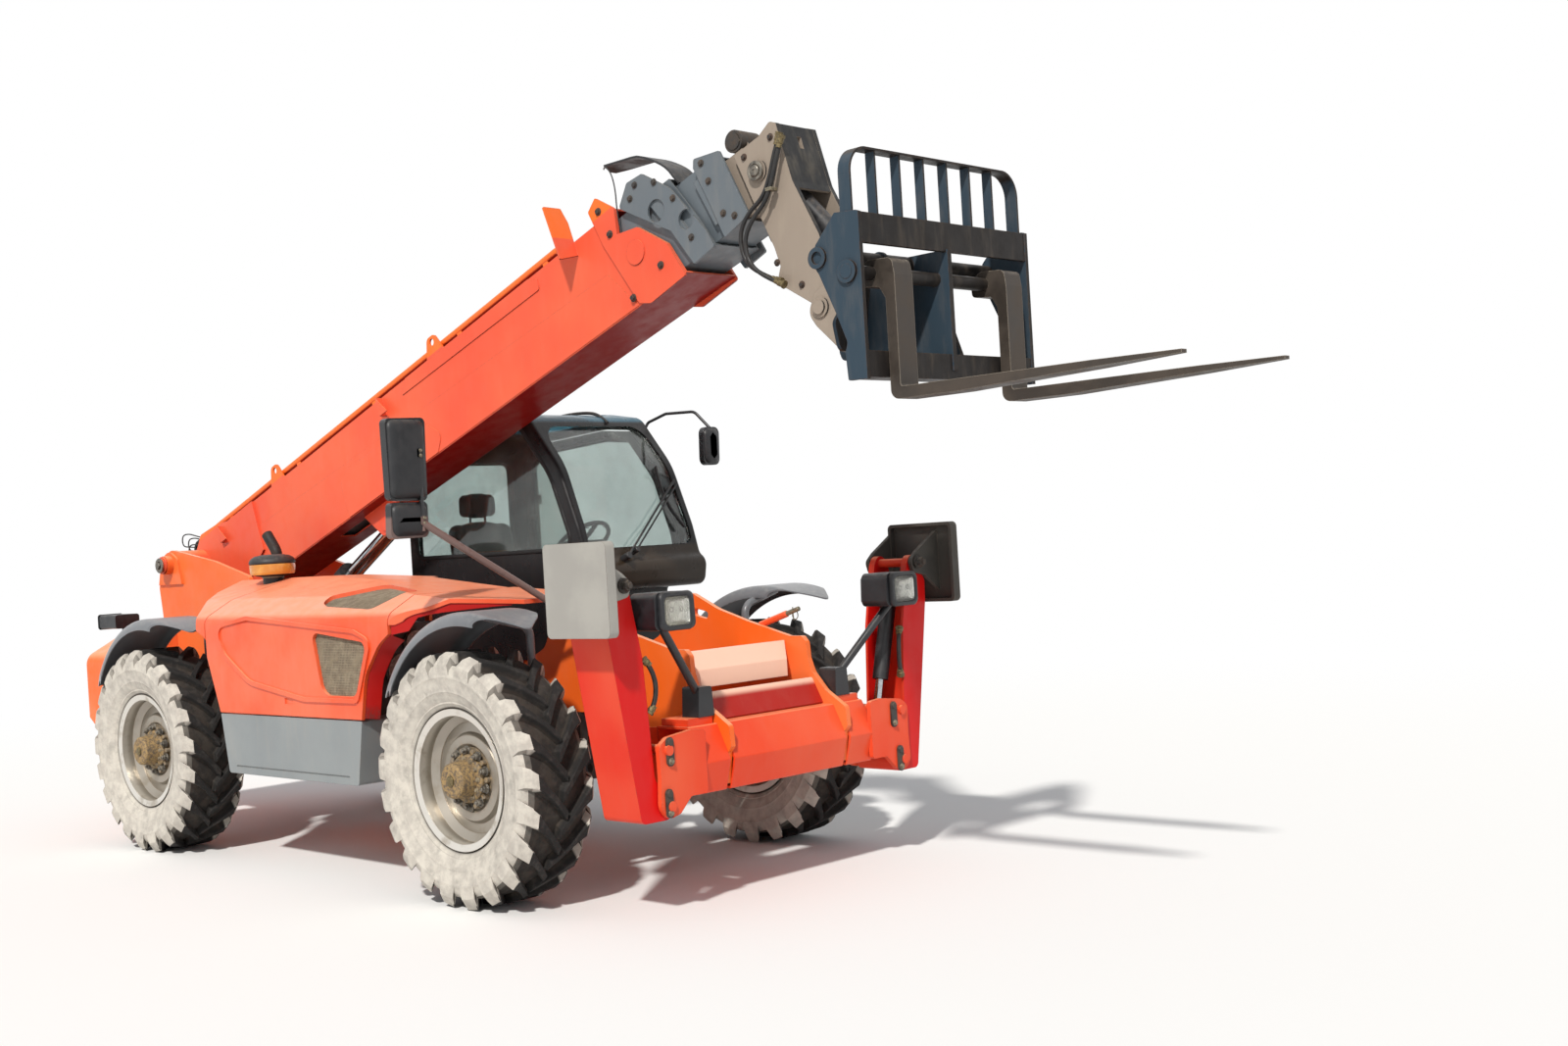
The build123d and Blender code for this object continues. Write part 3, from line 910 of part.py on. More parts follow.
# ---------------------------------------------------------------- assembly
def build():
    wheel_sets()
    PARTS["front_axle"] = axle(WHEELBASE / 2, -1)
    PARTS["rear_axle"] = axle(-WHEELBASE / 2, 1)
    PARTS["chassis_frame"] = chassis() + hinge_rail()
    PARTS["counterweight"] = counterweight()
    PARTS["stabiliser_beam"] = front_frame()
    PARTS["front_cover"] = Compound(front_cover())
    PARTS["engine_block"] = engine()
    PARTS["tank_box"] = tank_box()
    PARTS["transmission"] = transmission()
    PARTS["left_step"] = left_step()
    PARTS["engine_hood"] = hood()
    PARTS["hood_grilles"] = Compound(hood_grilles())
    PARTS["body_panels"] = Compound(body_panels())
    hull, panes, door_body, door_glass = cab_parts()
    PARTS["cab_shell"] = hull
    PARTS["cab_glass"] = Compound(panes)
    PARTS["cab_door"] = door_body
    PARTS["cab_door_glass"] = door_glass
    PARTS["seat"] = seat()
    PARTS["console"] = Compound(console())
    PARTS["mirrors"] = Compound(mirrors())
    PARTS["lamps"] = Compound(lamps())
    PARTS["air_precleaner"] = precleaner()
    PARTS["exhaust_stack"] = exhaust()

    PARTS["boom_base"] = BOOM * boom_base()
    PARTS["boom_section_2"] = BOOM * section(
        260, SECTION_HALF_W[0], -343, 95, SECTION_WALL, [(4890, 95), (4990, -180), (5035, -343)],
        [(4762, 195, 12), (4900, 38, 20), (5033, -268, 20), (5051, -363, 10), (4901, -376, 10), (4828, -158, 30),
         (4555, 120, 20), (4653, 207, 20)],
        [(4779, -20, 56), (4938, -157, 48)], BOOM_HALF_W - 3,
        (BOOM_HALF_W - BOOM_WALL, BOOM_BOTTOM + BOOM_WALL, BOOM_TOP - BOOM_WALL))
    PARTS["boom_section_3"] = BOOM * section(
        460, SECTION_HALF_W[1], -326, 50, SECTION_WALL, [(5180, 50), (5240, -326)],
        [(5084, 84, 12), (5242, 35, 12), (5289, -330, 10), (5114, -353, 10), (5090, -141), (5065, 44)],
        [], BOOM_HALF_W - 17, (SECTION_HALF_W[0] - SECTION_WALL, -335, 87))
    PARTS["boom_head"] = BOOM * boom_head()
    PARTS["lift_cylinder_barrel"], PARTS["lift_cylinder_rod"] = cylinder(
        LIFT_FOOT, boom_point(*LIFT_EYE), 82, 48, 35, 50, 1250, 438)
    lever = boom_point(*polar(HEAD_PIN, LEVER_R, LEVER_ANGLE))
    PARTS["tilt_cylinder_barrel"], PARTS["tilt_cylinder_rod"] = cylinder(
        boom_point(*TILT_FOOT), lever, 48, 28, 30, 48, 480, 182)
    PARTS["quick_hitch"] = quick_hitch()
    PARTS["fork_carriage"] = carriage()
    for name, sign in (("left", 1), ("right", -1)):
        PARTS[f"fork_{name}"] = fork(sign * FORK_Y)
        pick = (lambda shape: shape) if sign > 0 else mirrored
        PARTS[f"stabiliser_leg_{name}"] = pick(leg())
        PARTS[f"stabiliser_pad_{name}"] = pick(pad())
        barrel, rod = leg_cylinder()
        PARTS[f"stabiliser_barrel_{name}"] = pick(barrel)
        PARTS[f"stabiliser_rod_{name}"] = pick(rod)


build()
os.makedirs("parts", exist_ok=True)
for node, solid in PARTS.items():
    export_step(solid, f"parts/{node}.step")
print(len(PARTS), "nodes")
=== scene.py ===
# %% [markdown]
# # A telescopic handler, dressed step by step
#
# The machine's measured model is loaded first and never moved: it is the frame that every new piece
# is hung on. This lesson gives each part the finish it has on the real machine (sprayed enamel, cast
# iron, dusty rubber, tinted glass) and adds the small things that a CAD model leaves out: lugs on the
# tyres, bolts, mesh, hoses, seals and lamps.

# %% Load the frame
import math

import bmesh
import bpy
from mathutils import Matrix, Vector


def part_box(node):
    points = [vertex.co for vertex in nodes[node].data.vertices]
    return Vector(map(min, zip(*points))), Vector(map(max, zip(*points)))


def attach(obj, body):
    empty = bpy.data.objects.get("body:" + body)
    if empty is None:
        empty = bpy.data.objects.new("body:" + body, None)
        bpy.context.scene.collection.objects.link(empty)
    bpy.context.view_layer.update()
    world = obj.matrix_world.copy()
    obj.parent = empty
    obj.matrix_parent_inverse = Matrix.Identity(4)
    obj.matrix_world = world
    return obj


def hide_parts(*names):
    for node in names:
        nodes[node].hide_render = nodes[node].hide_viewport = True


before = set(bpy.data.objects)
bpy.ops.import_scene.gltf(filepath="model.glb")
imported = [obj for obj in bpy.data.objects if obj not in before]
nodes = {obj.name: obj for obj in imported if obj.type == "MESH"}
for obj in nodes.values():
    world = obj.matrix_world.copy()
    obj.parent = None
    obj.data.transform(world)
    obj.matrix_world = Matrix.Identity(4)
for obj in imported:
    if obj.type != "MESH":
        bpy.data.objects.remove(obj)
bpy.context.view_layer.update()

# %% [markdown]
# ## Sizes that the pieces share
#
# Only a few places are needed more than once: the axles, the boom's pivot and its parked angle, and
# which way each side and corner lies. The boom is easier to think about in its own frame, so one
# function turns a distance along it and a height square to it into a place in the model.

# %% Shared places, in metres
AXLE_X, WHEEL_Y, TYRE_R = 1.535, 1.01, 0.612
PIVOT = Vector((-2.4, 0, 1.732))
BOOM_ANGLE = math.radians(19.2)
ALONG = Vector((math.cos(BOOM_ANGLE), 0, math.sin(BOOM_ANGLE)))
SQUARE = Vector((-math.sin(BOOM_ANGLE), 0, math.cos(BOOM_ANGLE)))
SIDES = (("left", 1), ("right", -1))
CORNERS = {"front_left": (1, 1), "front_right": (1, -1), "rear_left": (-1, 1), "rear_right": (-1, -1)}


def wheel_centre(sx, sy):
    """Where a wheel's axle and middle plane meet, from the signs of its corner."""
    return (sx * AXLE_X, sy * WHEEL_Y, TYRE_R)


def on_boom(s, h, y=0.0):
    """A place in the boom's frame (millimetres along it and square to it), as a point of the model."""
    return PIVOT + ALONG * (s / 1000) + SQUARE * (h / 1000) + Vector((0, y / 1000, 0))


# %% [markdown]
# ## The camera
#
# The view is from ahead and to the machine's right, at about the height of the engine hood, with a
# lens a little longer than normal. The camera is rolled by a few degrees, as a hand-held one is, and
# the lens is shifted sideways, because the machine stands left of the middle of the frame.

# %% Camera
CAMERA_AT = (7.987, -6.132, 1.666)
HEADING, RISE, ROLL = 138.14, -0.48, -3.5


def aim(yaw, pitch, roll):
    """Rotation of a camera from its heading, rise and roll in degrees."""
    y, p, r = (math.radians(a) for a in (yaw, pitch, roll))
    ahead = Vector((math.cos(y) * math.cos(p), math.sin(y) * math.cos(p), math.sin(p)))
    right = ahead.cross(Vector((0, 0, 1))).normalized()
    up = right.cross(ahead)
    rolled_right = right * math.cos(r) + up * math.sin(r)
    rolled_up = up * math.cos(r) - right * math.sin(r)
    return Matrix((rolled_right, rolled_up, -ahead)).transposed()


lens = bpy.data.cameras.new("camera")
lens.sensor_width = 36
lens.lens = 39.4
lens.shift_x, lens.shift_y = 0.1355, 0.0267
lens.clip_end = 200
camera = bpy.data.objects.new("camera", lens)
camera.matrix_world = Matrix.Translation(CAMERA_AT) @ aim(HEADING, RISE, ROLL).to_4x4()
bpy.context.scene.collection.objects.link(camera)
bpy.context.scene.camera = camera
print("camera at", CAMERA_AT, "lens", round(lens.lens, 1), "mm")

# %% [markdown]
# ## Colours and nodes
#
# Paint charts and most colour pickers give sRGB values, while shaders work in linear light. One
# function does that turn for every colour in the lesson. Another adds a node, sets it up and plugs
# in what feeds it, so each material below reads as a short recipe.

# %% Colour and node helpers
def shade(hex_value):
    """Linear RGBA of an sRGB hex colour."""
    channels = [int(hex_value[i:i + 2], 16) / 255 for i in (1, 3, 5)]
    return [c / 12.92 if c <= 0.04045 else ((c + 0.055) / 1.055) ** 2.4 for c in channels] + [1.0]


def add(tree, kind, settings=None, **inputs):
    """Adds a node: settings are its own properties, inputs are constants or other nodes' sockets.

    An input's name is its socket's name with _ for spaces, or in0, in1 ... for its place."""
    node = tree.nodes.new(kind)
    for key, value in (settings or {}).items():
        setattr(node, key, value)
    for key, value in inputs.items():
        by_place = key.startswith("in") and key[2:].isdigit()
        socket = node.inputs[int(key[2:]) if by_place else key.replace("_", " ")]
        if isinstance(value, bpy.types.NodeSocket):
            tree.links.new(value, socket)
        else:
            socket.default_value = value
    return node


def blank(name):
    """A new material with an empty node tree."""
    material = bpy.data.materials.new(name)
    material.use_nodes = True
    material.node_tree.nodes.clear()
    return material, material.node_tree


# %% Patterns and how they mix
def noise(tree, size_mm, detail=4.0, rough=0.55, stretch=(1, 1, 1)):
    """Noise on Object coordinates whose blotches are about size_mm across; returns its socket."""
    place = add(tree, "ShaderNodeTexCoord").outputs["Object"]
    if stretch != (1, 1, 1):
        place = add(tree, "ShaderNodeMapping", Vector=place, Scale=stretch).outputs[0]
    return add(tree, "ShaderNodeTexNoise", Vector=place, Scale=1000 / size_mm, Detail=detail,
               Roughness=rough).outputs[0]


def band(tree, value, low, high, to_low=0.0, to_high=1.0):
    """Maps a value between low and high on to a smooth step; returns its socket."""
    return add(tree, "ShaderNodeMapRange", {"interpolation_type": "SMOOTHSTEP"}, Value=value, From_Min=low,
               From_Max=high, To_Min=to_low, To_Max=to_high).outputs[0]


def blend(tree, factor, a, b):
    """Mixes two colours; returns the result's socket."""
    return add(tree, "ShaderNodeMix", {"data_type": "RGBA"}, in0=factor, in6=a, in7=b).outputs[2]


def sums(tree, how, *values):
    """One Math node; returns its socket."""
    node = add(tree, "ShaderNodeMath", {"operation": how}, **{f"in{i}": v for i, v in enumerate(values)})
    return node.outputs[0]


# %% Masks from the shape itself
def where(tree):
    """The three model coordinates of the shaded point, as sockets."""
    place = add(tree, "ShaderNodeTexCoord").outputs["Object"]
    return add(tree, "ShaderNodeSeparateXYZ", Vector=place).outputs


def over_boom(tree):
    """Height above the boom's own axis line, in metres, as a socket."""
    x, _, z = where(tree)
    along = sums(tree, "MULTIPLY", sums(tree, "SUBTRACT", x, PIVOT.x), SQUARE.x)
    return sums(tree, "ADD", along, sums(tree, "MULTIPLY", sums(tree, "SUBTRACT", z, PIVOT.z), SQUARE.z))


def looks(tree, axis, which="Normal"):
    """How far the shaded face looks along a model axis (0, 1 or 2), from -1 to 1, as a socket."""
    normal = add(tree, "ShaderNodeNewGeometry").outputs[which]
    return add(tree, "ShaderNodeSeparateXYZ", Vector=normal).outputs[axis]


def facing_up(tree, low=0.35):
    """1 on faces that look up, where dust settles."""
    return band(tree, looks(tree, 2), low, 0.95)


def worn_edge(tree, reach, gain=1.0):
    """1 on sharp edges: where the rounded normal leaves the flat one."""
    soft = add(tree, "ShaderNodeBevel", {"samples": 4}, Radius=reach).outputs[0]
    flat = add(tree, "ShaderNodeNewGeometry").outputs["Normal"]
    dot = add(tree, "ShaderNodeVectorMath", {"operation": "DOT_PRODUCT"}, in0=soft, in1=flat).outputs["Value"]
    return band(tree, dot, 0.995, 0.90, 0.0, gain)


# %% The end of every recipe
def finish_material(material, tree, bump=None, height_mm=0.3, strength=0.5, edge=0.0, **shader):
    """Ends a recipe with the shader, its bump and softly rounded edges of radius edge metres."""
    normal = add(tree, "ShaderNodeBevel", {"samples": 4}, Radius=edge).outputs[0] if edge else None
    if bump is not None:
        feeds = {"Normal": normal} if normal else {}
        normal = add(tree, "ShaderNodeBump", Height=bump, Strength=strength, Distance=height_mm / 1000,
                     **feeds).outputs[0]
    if normal:
        shader["Normal"] = normal
    surface = add(tree, "ShaderNodeBsdfPrincipled", **shader)
    add(tree, "ShaderNodeOutputMaterial", Surface=surface.outputs[0])
    return material


# %% [markdown]
# ## Sprayed enamel
#
# Lift machines are painted with a two-part enamel over primer. New, it is an even satin film; after
# some years in the sun it bleaches towards orange on its upper faces, dust lies in thin blotches, and
# the film is rubbed down to primer on edges. The paler colour on upper faces is partly painted light as
# well: a painted sunlit highlight. All of that is noise at a few real sizes: an arm's length for fading,
# a hand's width for streaks, two fingers for dust and one for chips. A Bevel node finds the edges.

# %% Enamel recipe
def enamel(name, fresh, faded, dust="#B9A58E", dust_share=0.25, wear="#5A4038", rough=0.36, zones=(), shine=0.5):
    """Sprayed two-part enamel: fresh and faded colours, road dust, and edges rubbed to primer; the faded colour on
    upper faces is partly painted light.

    zones are (mask, colour) pairs: mask is a function of the tree that gives 1 where another colour is."""
    material, tree = blank(name)
    fade = band(tree, noise(tree, 700, 2), 0.36, 0.68)
    streak = band(tree, noise(tree, 60, 5, 0.6, (1, 1, 0.22)), 0.45, 0.75, 0, 0.22)
    top = facing_up(tree)
    # Upper faces take the faded colour: partly real sun fading, partly a painted sunlit highlight.
    bleach_and_painted_light = sums(tree, "MAXIMUM", sums(tree, "MULTIPLY", top, 0.9), sums(tree, "MULTIPLY", fade, 0.22))
    colour = blend(tree, bleach_and_painted_light, shade(fresh), shade(faded))
    for mask, other in zones:
        colour = blend(tree, mask(tree), colour, shade(other))
    colour = blend(tree, sums(tree, "MULTIPLY", streak, dust_share), colour, shade(dust))
    speck = band(tree, noise(tree, 26, 6, 0.7), 0.52, 0.72)
    settled = sums(tree, "MULTIPLY", sums(tree, "MULTIPLY", top, speck), dust_share * 0.7)
    colour = blend(tree, settled, colour, shade(dust))
    flaked = band(tree, noise(tree, 18, 5, 0.7), 0.42, 0.62)
    chips = sums(tree, "MULTIPLY", worn_edge(tree, 0.006, 0.5), flaked)
    colour = blend(tree, chips, colour, shade(wear))
    gloss = band(tree, noise(tree, 90, 5), 0.3, 0.75, rough - 0.06, rough + 0.16)
    return finish_material(material, tree, noise(tree, 1.6, 2), 0.04, 0.35, 0.004, Base_Color=colour,
                           Roughness=gloss, IOR=1.5, Specular_IOR_Level=shine, Coat_Weight=0.24 * shine,
                           Coat_Roughness=0.2)


# %% Masks for another colour on part of a node
def above_boom(tree):
    """1 on the hose pipe and its eyes, which stand above the boom's top plate."""
    return band(tree, over_boom(tree), 0.150, 0.158)


def boom_underside_shade(tree):
    """1 on the boom's underside plates, which take a dark red that is painted shade."""
    return band(tree, looks(tree, 2), -0.4, -0.8)


def cab_roof(tree):
    """1 on the roof's painted rim."""
    return band(tree, where(tree)[2], 2.405, 2.425)


def cab_cowl(tree):
    """1 on the moulded cowl below the windscreen."""
    x, _, z = where(tree)
    return sums(tree, "MULTIPLY", band(tree, x, 0.86, 0.90), band(tree, z, 1.68, 1.65))


def cheek_plates(tree):
    """1 on the carriage's faces that look sideways: its cheeks and the flats of the rack's bars."""
    return band(tree, sums(tree, "ABSOLUTE", looks(tree, 1)), 0.6, 0.8)


def looks_forward(tree):
    """1 on faces that look forward."""
    return band(tree, looks(tree, 0), 0.45, 0.7)


def mirror_arm(tree):
    """1 on the right-hand mirror's long bare arm."""
    _, y, z = where(tree)
    return sums(tree, "MULTIPLY", band(tree, z, 1.88, 1.86), band(tree, y, 0.0, -0.1))


def cover_tray_bleach_and_reflection(tree):
    """1 on the front cover's upper plates, painted nearly white: partly sun bleaching, partly a painted reflection of
    the sky on faces that look up.
    """
    return band(tree, where(tree)[2], 0.93, 0.96)


# %% The machine's paints
paint_mirror = enamel("black_mirror_enamel", "#1A1B1E", "#26272A", dust="#74695C", dust_share=0.2, wear="#3A3835",
                      rough=0.32, shine=0.5, zones=[(mirror_arm, "#6E5650")])
paint_frame = enamel("frame_orange_enamel", "#F0661F", "#F8A070", dust_share=0.15, shine=0.3)
# The cover's upper plates are painted nearly white, partly as a painted sky reflection.
paint_cover = enamel("front_cover_enamel", "#A8221A", "#B8332A", dust_share=0.12, shine=0.2,
                     zones=[(cover_tray_bleach_and_reflection, "#F6C6AE")])
paint_beam = enamel("beam_red_enamel", "#E4431F", "#F58A5E", dust_share=0.12, shine=0.25)
paint_orange = enamel("sunbleached_orange_enamel", "#E9501F", "#FA9C74", dust_share=0.2)
# The boom's downward faces get a dark red as painted shade.
paint_red = enamel("boom_red_enamel", "#E2563A", "#F08A58", dust_share=0.15,
                   shine=0.25, zones=[(above_boom, "#F2702A"), (boom_underside_shade, "#7E0A08")])
paint_leg = enamel("stabiliser_red_enamel", "#D92E18", "#F4825A", dust_share=0.1, shine=0.2,
                   zones=[(looks_forward, "#D41412")])
paint_tank = enamel("grey_tank_enamel", "#7F8587", "#A4A8A6", dust_share=0.35, wear="#6B5A4A")
paint_section = enamel("slate_grey_enamel", "#5E666C", "#7C7C7A", dust_share=0.4, wear="#2A2420", rough=0.45)
paint_charcoal = enamel("charcoal_enamel", "#221F1E", "#35302C", dust_share=0.3, wear="#6B4A33", rough=0.45,
                        shine=0.15, zones=[(cheek_plates, "#34434F")])
paint_cab = enamel("cab_charcoal_enamel", "#151416", "#222122", dust="#6A5D4E", dust_share=0.2, wear="#3A3632",
                   rough=0.3, shine=0.25, zones=[(cab_roof, "#2E5668"), (cab_cowl, "#33291F")])
paint_head = enamel("dusty_head_enamel", "#96897C", "#A89A8C", dust="#C3B6A0", dust_share=0.5, wear="#4B3F35",
                    rough=0.55, shine=0.25, zones=[(looks_forward, "#262627")])
# Deep red: the oil filter's own colour, and painted shade on the turned-in edges round the front wheel.
deep_red_and_shade_paint = enamel("deep_red_enamel", "#B0100E", "#C0281C", dust_share=0.06, shine=0.2)
print("enamels", sum(name.endswith("enamel") for name in bpy.data.materials.keys()))

# %% [markdown]
# ## Rubber that works on building sites
#
# A tyre is carbon-black rubber, but hardly any of it looks black. Its side walls are coated with pale
# dried mud, packed between the ridges, while the lugs are wiped dark by the ground and keep brown soil
# between them. The distance from the wheel's own axle tells the two apart, and the absolute value of
# each coordinate lets one recipe serve all four wheels.

# %% Tyre rubber
def wheel_distances(tree):
    """Radius from the nearest wheel's axle and distance from its middle plane, as two sockets."""
    x, y, z = where(tree)
    along = sums(tree, "SUBTRACT", sums(tree, "ABSOLUTE", x), AXLE_X)
    rise = sums(tree, "SUBTRACT", z, TYRE_R)
    squares = [sums(tree, "MULTIPLY", side, side) for side in (along, rise)]
    radius = sums(tree, "SQRT", sums(tree, "ADD", *squares))
    return radius, sums(tree, "ABSOLUTE", sums(tree, "SUBTRACT", sums(tree, "ABSOLUTE", y), WHEEL_Y))


def tyre_rubber():
    """Vulcanised rubber: pale mud film on the side walls, dark lugs with soil between them."""
    material, tree = blank("dusty_tyre_rubber")
    radius, off_middle = wheel_distances(tree)
    patches = noise(tree, 70, 6, 0.65)
    sideways = sums(tree, "ABSOLUTE", looks(tree, 1, "True Normal"))
    wall = sums(tree, "MULTIPLY", band(tree, sideways, 0.36, 0.52), band(tree, off_middle, 0.145, 0.155))
    coat = sums(tree, "MULTIPLY", wall, band(tree, patches, 0.25, 0.5, 0.72, 1.0))
    between = sums(tree, "MULTIPLY", band(tree, radius, 0.597, 0.575), band(tree, patches, 0.4, 0.6, 0.2, 0.85))
    colour = blend(tree, between, shade("#1B1918"), shade("#3E362F"))
    scuffed = band(tree, noise(tree, 45, 5, 0.65), 0.48, 0.72, 0, 0.5)
    colour = blend(tree, scuffed, colour, shade("#4A4541"))
    grey = blend(tree, band(tree, noise(tree, 60, 6, 0.65), 0.35, 0.65), shade("#B4AEA5"), shade("#CBC5BA"))
    ridge = band(tree, noise(tree, 7, 4, 0.6), 0.55, 0.75, 0, 0.35)
    grey = blend(tree, ridge, grey, shade("#9A938A"))
    colour = blend(tree, coat, colour, grey)
    bump = sums(tree, "ADD", noise(tree, 9, 6, 0.7), noise(tree, 2.5, 3))
    return finish_material(material, tree, bump, 0.6, 0.5, Base_Color=colour, Roughness=0.88, IOR=1.5)


rubber = tyre_rubber()

# %% [markdown]
# ## Rims and planetary hubs
#
# The rims are pressed steel in a pale silver lacquer. Brake heat, gear oil and water have turned the
# cast hub in the middle to ochre rust, which has run on to the disc around it. Again the distance from
# the axle sets where one becomes the other, with noise so that the border is ragged.

# %% Rim material
def rim_lacquer():
    """Silver lacquered pressed steel that turns to rust and old oil around the hub."""
    material, tree = blank("silver_rim_lacquer")
    radius, off_middle = wheel_distances(tree)
    ragged = sums(tree, "ADD", radius, sums(tree, "MULTIPLY", noise(tree, 40, 5, 0.7), 0.09))
    rust = band(tree, ragged, 0.235, 0.150)
    grime = band(tree, noise(tree, 150, 5, 0.6), 0.5, 0.7, 0, 0.6)
    silver = blend(tree, grime, shade("#DAD6CE"), shade("#8F8069"))
    ochre = blend(tree, band(tree, noise(tree, 14, 6, 0.7), 0.38, 0.6), shade("#5E5246"), shade("#A08457"))
    # Darker towards the middle plane, deep in the rim's well: painted shade.
    deep = band(tree, off_middle, 0.125, 0.085, 0, 0.75)
    silver = blend(tree, deep, silver, shade("#8A8174"))
    colour = blend(tree, rust, silver, ochre)
    colour = blend(tree, worn_edge(tree, 0.005, 0.6), colour, shade("#8C7A62"))
    rough = band(tree, rust, 0, 1, 0.33, 0.75)
    bump = sums(tree, "MULTIPLY", noise(tree, 5, 5, 0.7), rust)
    return finish_material(material, tree, bump, 2.0, 0.7, 0.003, Base_Color=colour, Roughness=rough,
                           Metallic=band(tree, rust, 0, 1, 0.7, 0.0))


lacquer = rim_lacquer()

# %% [markdown]
# ## Steel, cast iron and moulded plastic
#
# Bare working steel is never one grey. Fork blades are hot-rolled and rubbed bright on top, chromed
# cylinder rods are ground to a mirror, castings are rough with a little oil, and bolts are zinc plated
# with a yellowish cast. The plastic of the mudguards is moulded with a leather-like grain which holds
# pale dust; on their upper faces that pale colour is also a painted highlight of the lit top.

# %% Steels and plastics
def mixed_finish(name, first, second, size_mm, rough=(0.5, 0.8), metal=0.0, grain_mm=1.5, height_mm=0.1,
                 dust=None, dust_share=0.5, edge=0.003, wear=None, stretch=(1, 1, 1), **shader):
    """Two-tone finish mottled at size_mm, with grain, settled dust and optional rubbed edges."""
    material, tree = blank(name)
    mottle = band(tree, noise(tree, size_mm, 5, 0.62, stretch), 0.38, 0.64)
    colour = blend(tree, mottle, shade(first), shade(second))
    if dust:
        speck = band(tree, noise(tree, 34, 6, 0.7), 0.42, 0.68)
        lying = sums(tree, "MULTIPLY", sums(tree, "MULTIPLY", facing_up(tree, 0.1), speck), dust_share)
        colour = blend(tree, lying, colour, shade(dust))
    if wear:
        colour = blend(tree, worn_edge(tree, 0.004, 0.8), colour, shade(wear))
    return finish_material(material, tree, noise(tree, grain_mm, 4, 0.6, stretch), height_mm, 0.6, edge,
                           Base_Color=colour, Roughness=band(tree, mottle, 0, 1, *rough), Metallic=metal, **shader)


fork_steel = mixed_finish("hot_rolled_fork_steel", "#3B342E", "#4A4139", 200, (0.5, 0.68), 0.25, 3, 0.2,
                          dust="#A39583", wear="#A79C8C")
cast_iron = mixed_finish("oily_cast_iron", "#2B2826", "#4A4038", 80, (0.45, 0.8), 0.0, 6, 0.5, dust="#7B6C5A")
dark_steel = mixed_finish("dirty_black_steel", "#1F1E20", "#3A3430", 90, (0.5, 0.8), 0.0, 4, 0.3, dust="#6E6153",
                          wear="#6B4A33")
zinc = mixed_finish("zinc_plated_bolt", "#6E6858", "#958C78", 9, (0.35, 0.55), 0.6, 2, 0.1)
pin_steel = mixed_finish("greased_pin_steel", "#5A5650", "#8B857B", 22, (0.35, 0.6), 0.6, 2, 0.1, dust="#6C6152")
chrome = mixed_finish("ground_hard_chrome", "#BFC2C4", "#A9ADB0", 60, (0.08, 0.14), 1.0, 0.6, 0.01, edge=0,
                      stretch=(1, 8, 8))
cylinder_black = mixed_finish("black_cylinder_enamel", "#1D1E21", "#2C2C2E", 70, (0.35, 0.55), 0.0, 3, 0.1,
                              dust="#7C6E5F")
# The pale dust on the mudguards' tops is partly real dust, partly a painted highlight of the lit top.
guard_plastic = mixed_finish("grained_mudguard_plastic", "#66696D", "#73767A", 420, (0.3, 0.4), 0.0, 1.2, 0.04,
                             dust="#A9A69E", dust_share=0.3, Sheen_Weight=0.3, Sheen_Roughness=0.4)
trim_plastic = mixed_finish("black_moulded_plastic", "#1C1D20", "#2B2B2D", 90, (0.45, 0.62), 0.0, 1.2, 0.15,
                            dust="#74695C", dust_share=0.4)
mirror_plastic = mixed_finish("black_mirror_plastic", "#1C1D20", "#26272A", 90, (0.35, 0.5), 0.0, 1.2, 0.1,
                              dust="#74695C", dust_share=0.3)
seal_rubber = mixed_finish("window_seal_rubber", "#101012", "#1D1C1C", 40, (0.6, 0.8), 0.0, 1, 0.1, edge=0)
hose_rubber = mixed_finish("hydraulic_hose_rubber", "#151517", "#2A2725", 30, (0.45, 0.7), 0.0, 1.5, 0.2, edge=0,
                           dust="#6E6355")
mesh_wire = mixed_finish("dusty_mesh_wire", "#8C7E6B", "#A69A86", 45, (0.6, 0.85), 0.0, 1, 0.1, edge=0)
mesh_dust = mixed_finish("dusty_screen_backing", "#6F6352", "#93866F", 60, (0.8, 0.95), 0.0, 3, 0.3, edge=0)
exhaust_black = mixed_finish("heat_stained_exhaust_steel", "#1B1A1B", "#3B2F29", 50, (0.55, 0.8), 0.3, 2, 0.15)
cowl_plastic = mixed_finish("sunworn_cowl_plastic", "#4A4340", "#5B524B", 120, (0.5, 0.7), 0.0, 1.5, 0.2,
                            dust="#8A7F72")
pad_steel = mixed_finish("concrete_dusted_pad_steel", "#9A9791", "#A5A29B", 300, (0.7, 0.9), 0.0, 4, 0.3,
                         dust="#B5B0A6", wear="#6A625A")
# A darker copy of the pad finish for the left pad, away from the key lamp: painted shade.
dark_pad_steel = mixed_finish("mud_dark_pad_steel", "#3E3B37", "#4A4640", 260, (0.6, 0.85), 0.0, 4, 0.3,
                              dust="#7F776D", wear="#6D6257")
brass = mixed_finish("tarnished_brass_fitting", "#5C5138", "#857654", 10, (0.4, 0.6), 0.6, 1, 0.05)
print("materials so far", len(bpy.data.materials))

# %% [markdown]
# ## Glass and lamps
#
# Cab glass is toughened and tinted a cold green; road dust hazes it. Clear glass lets lamps shine
# through, so for shadow rays it steps aside, and the seat behind it is lit as it should be.

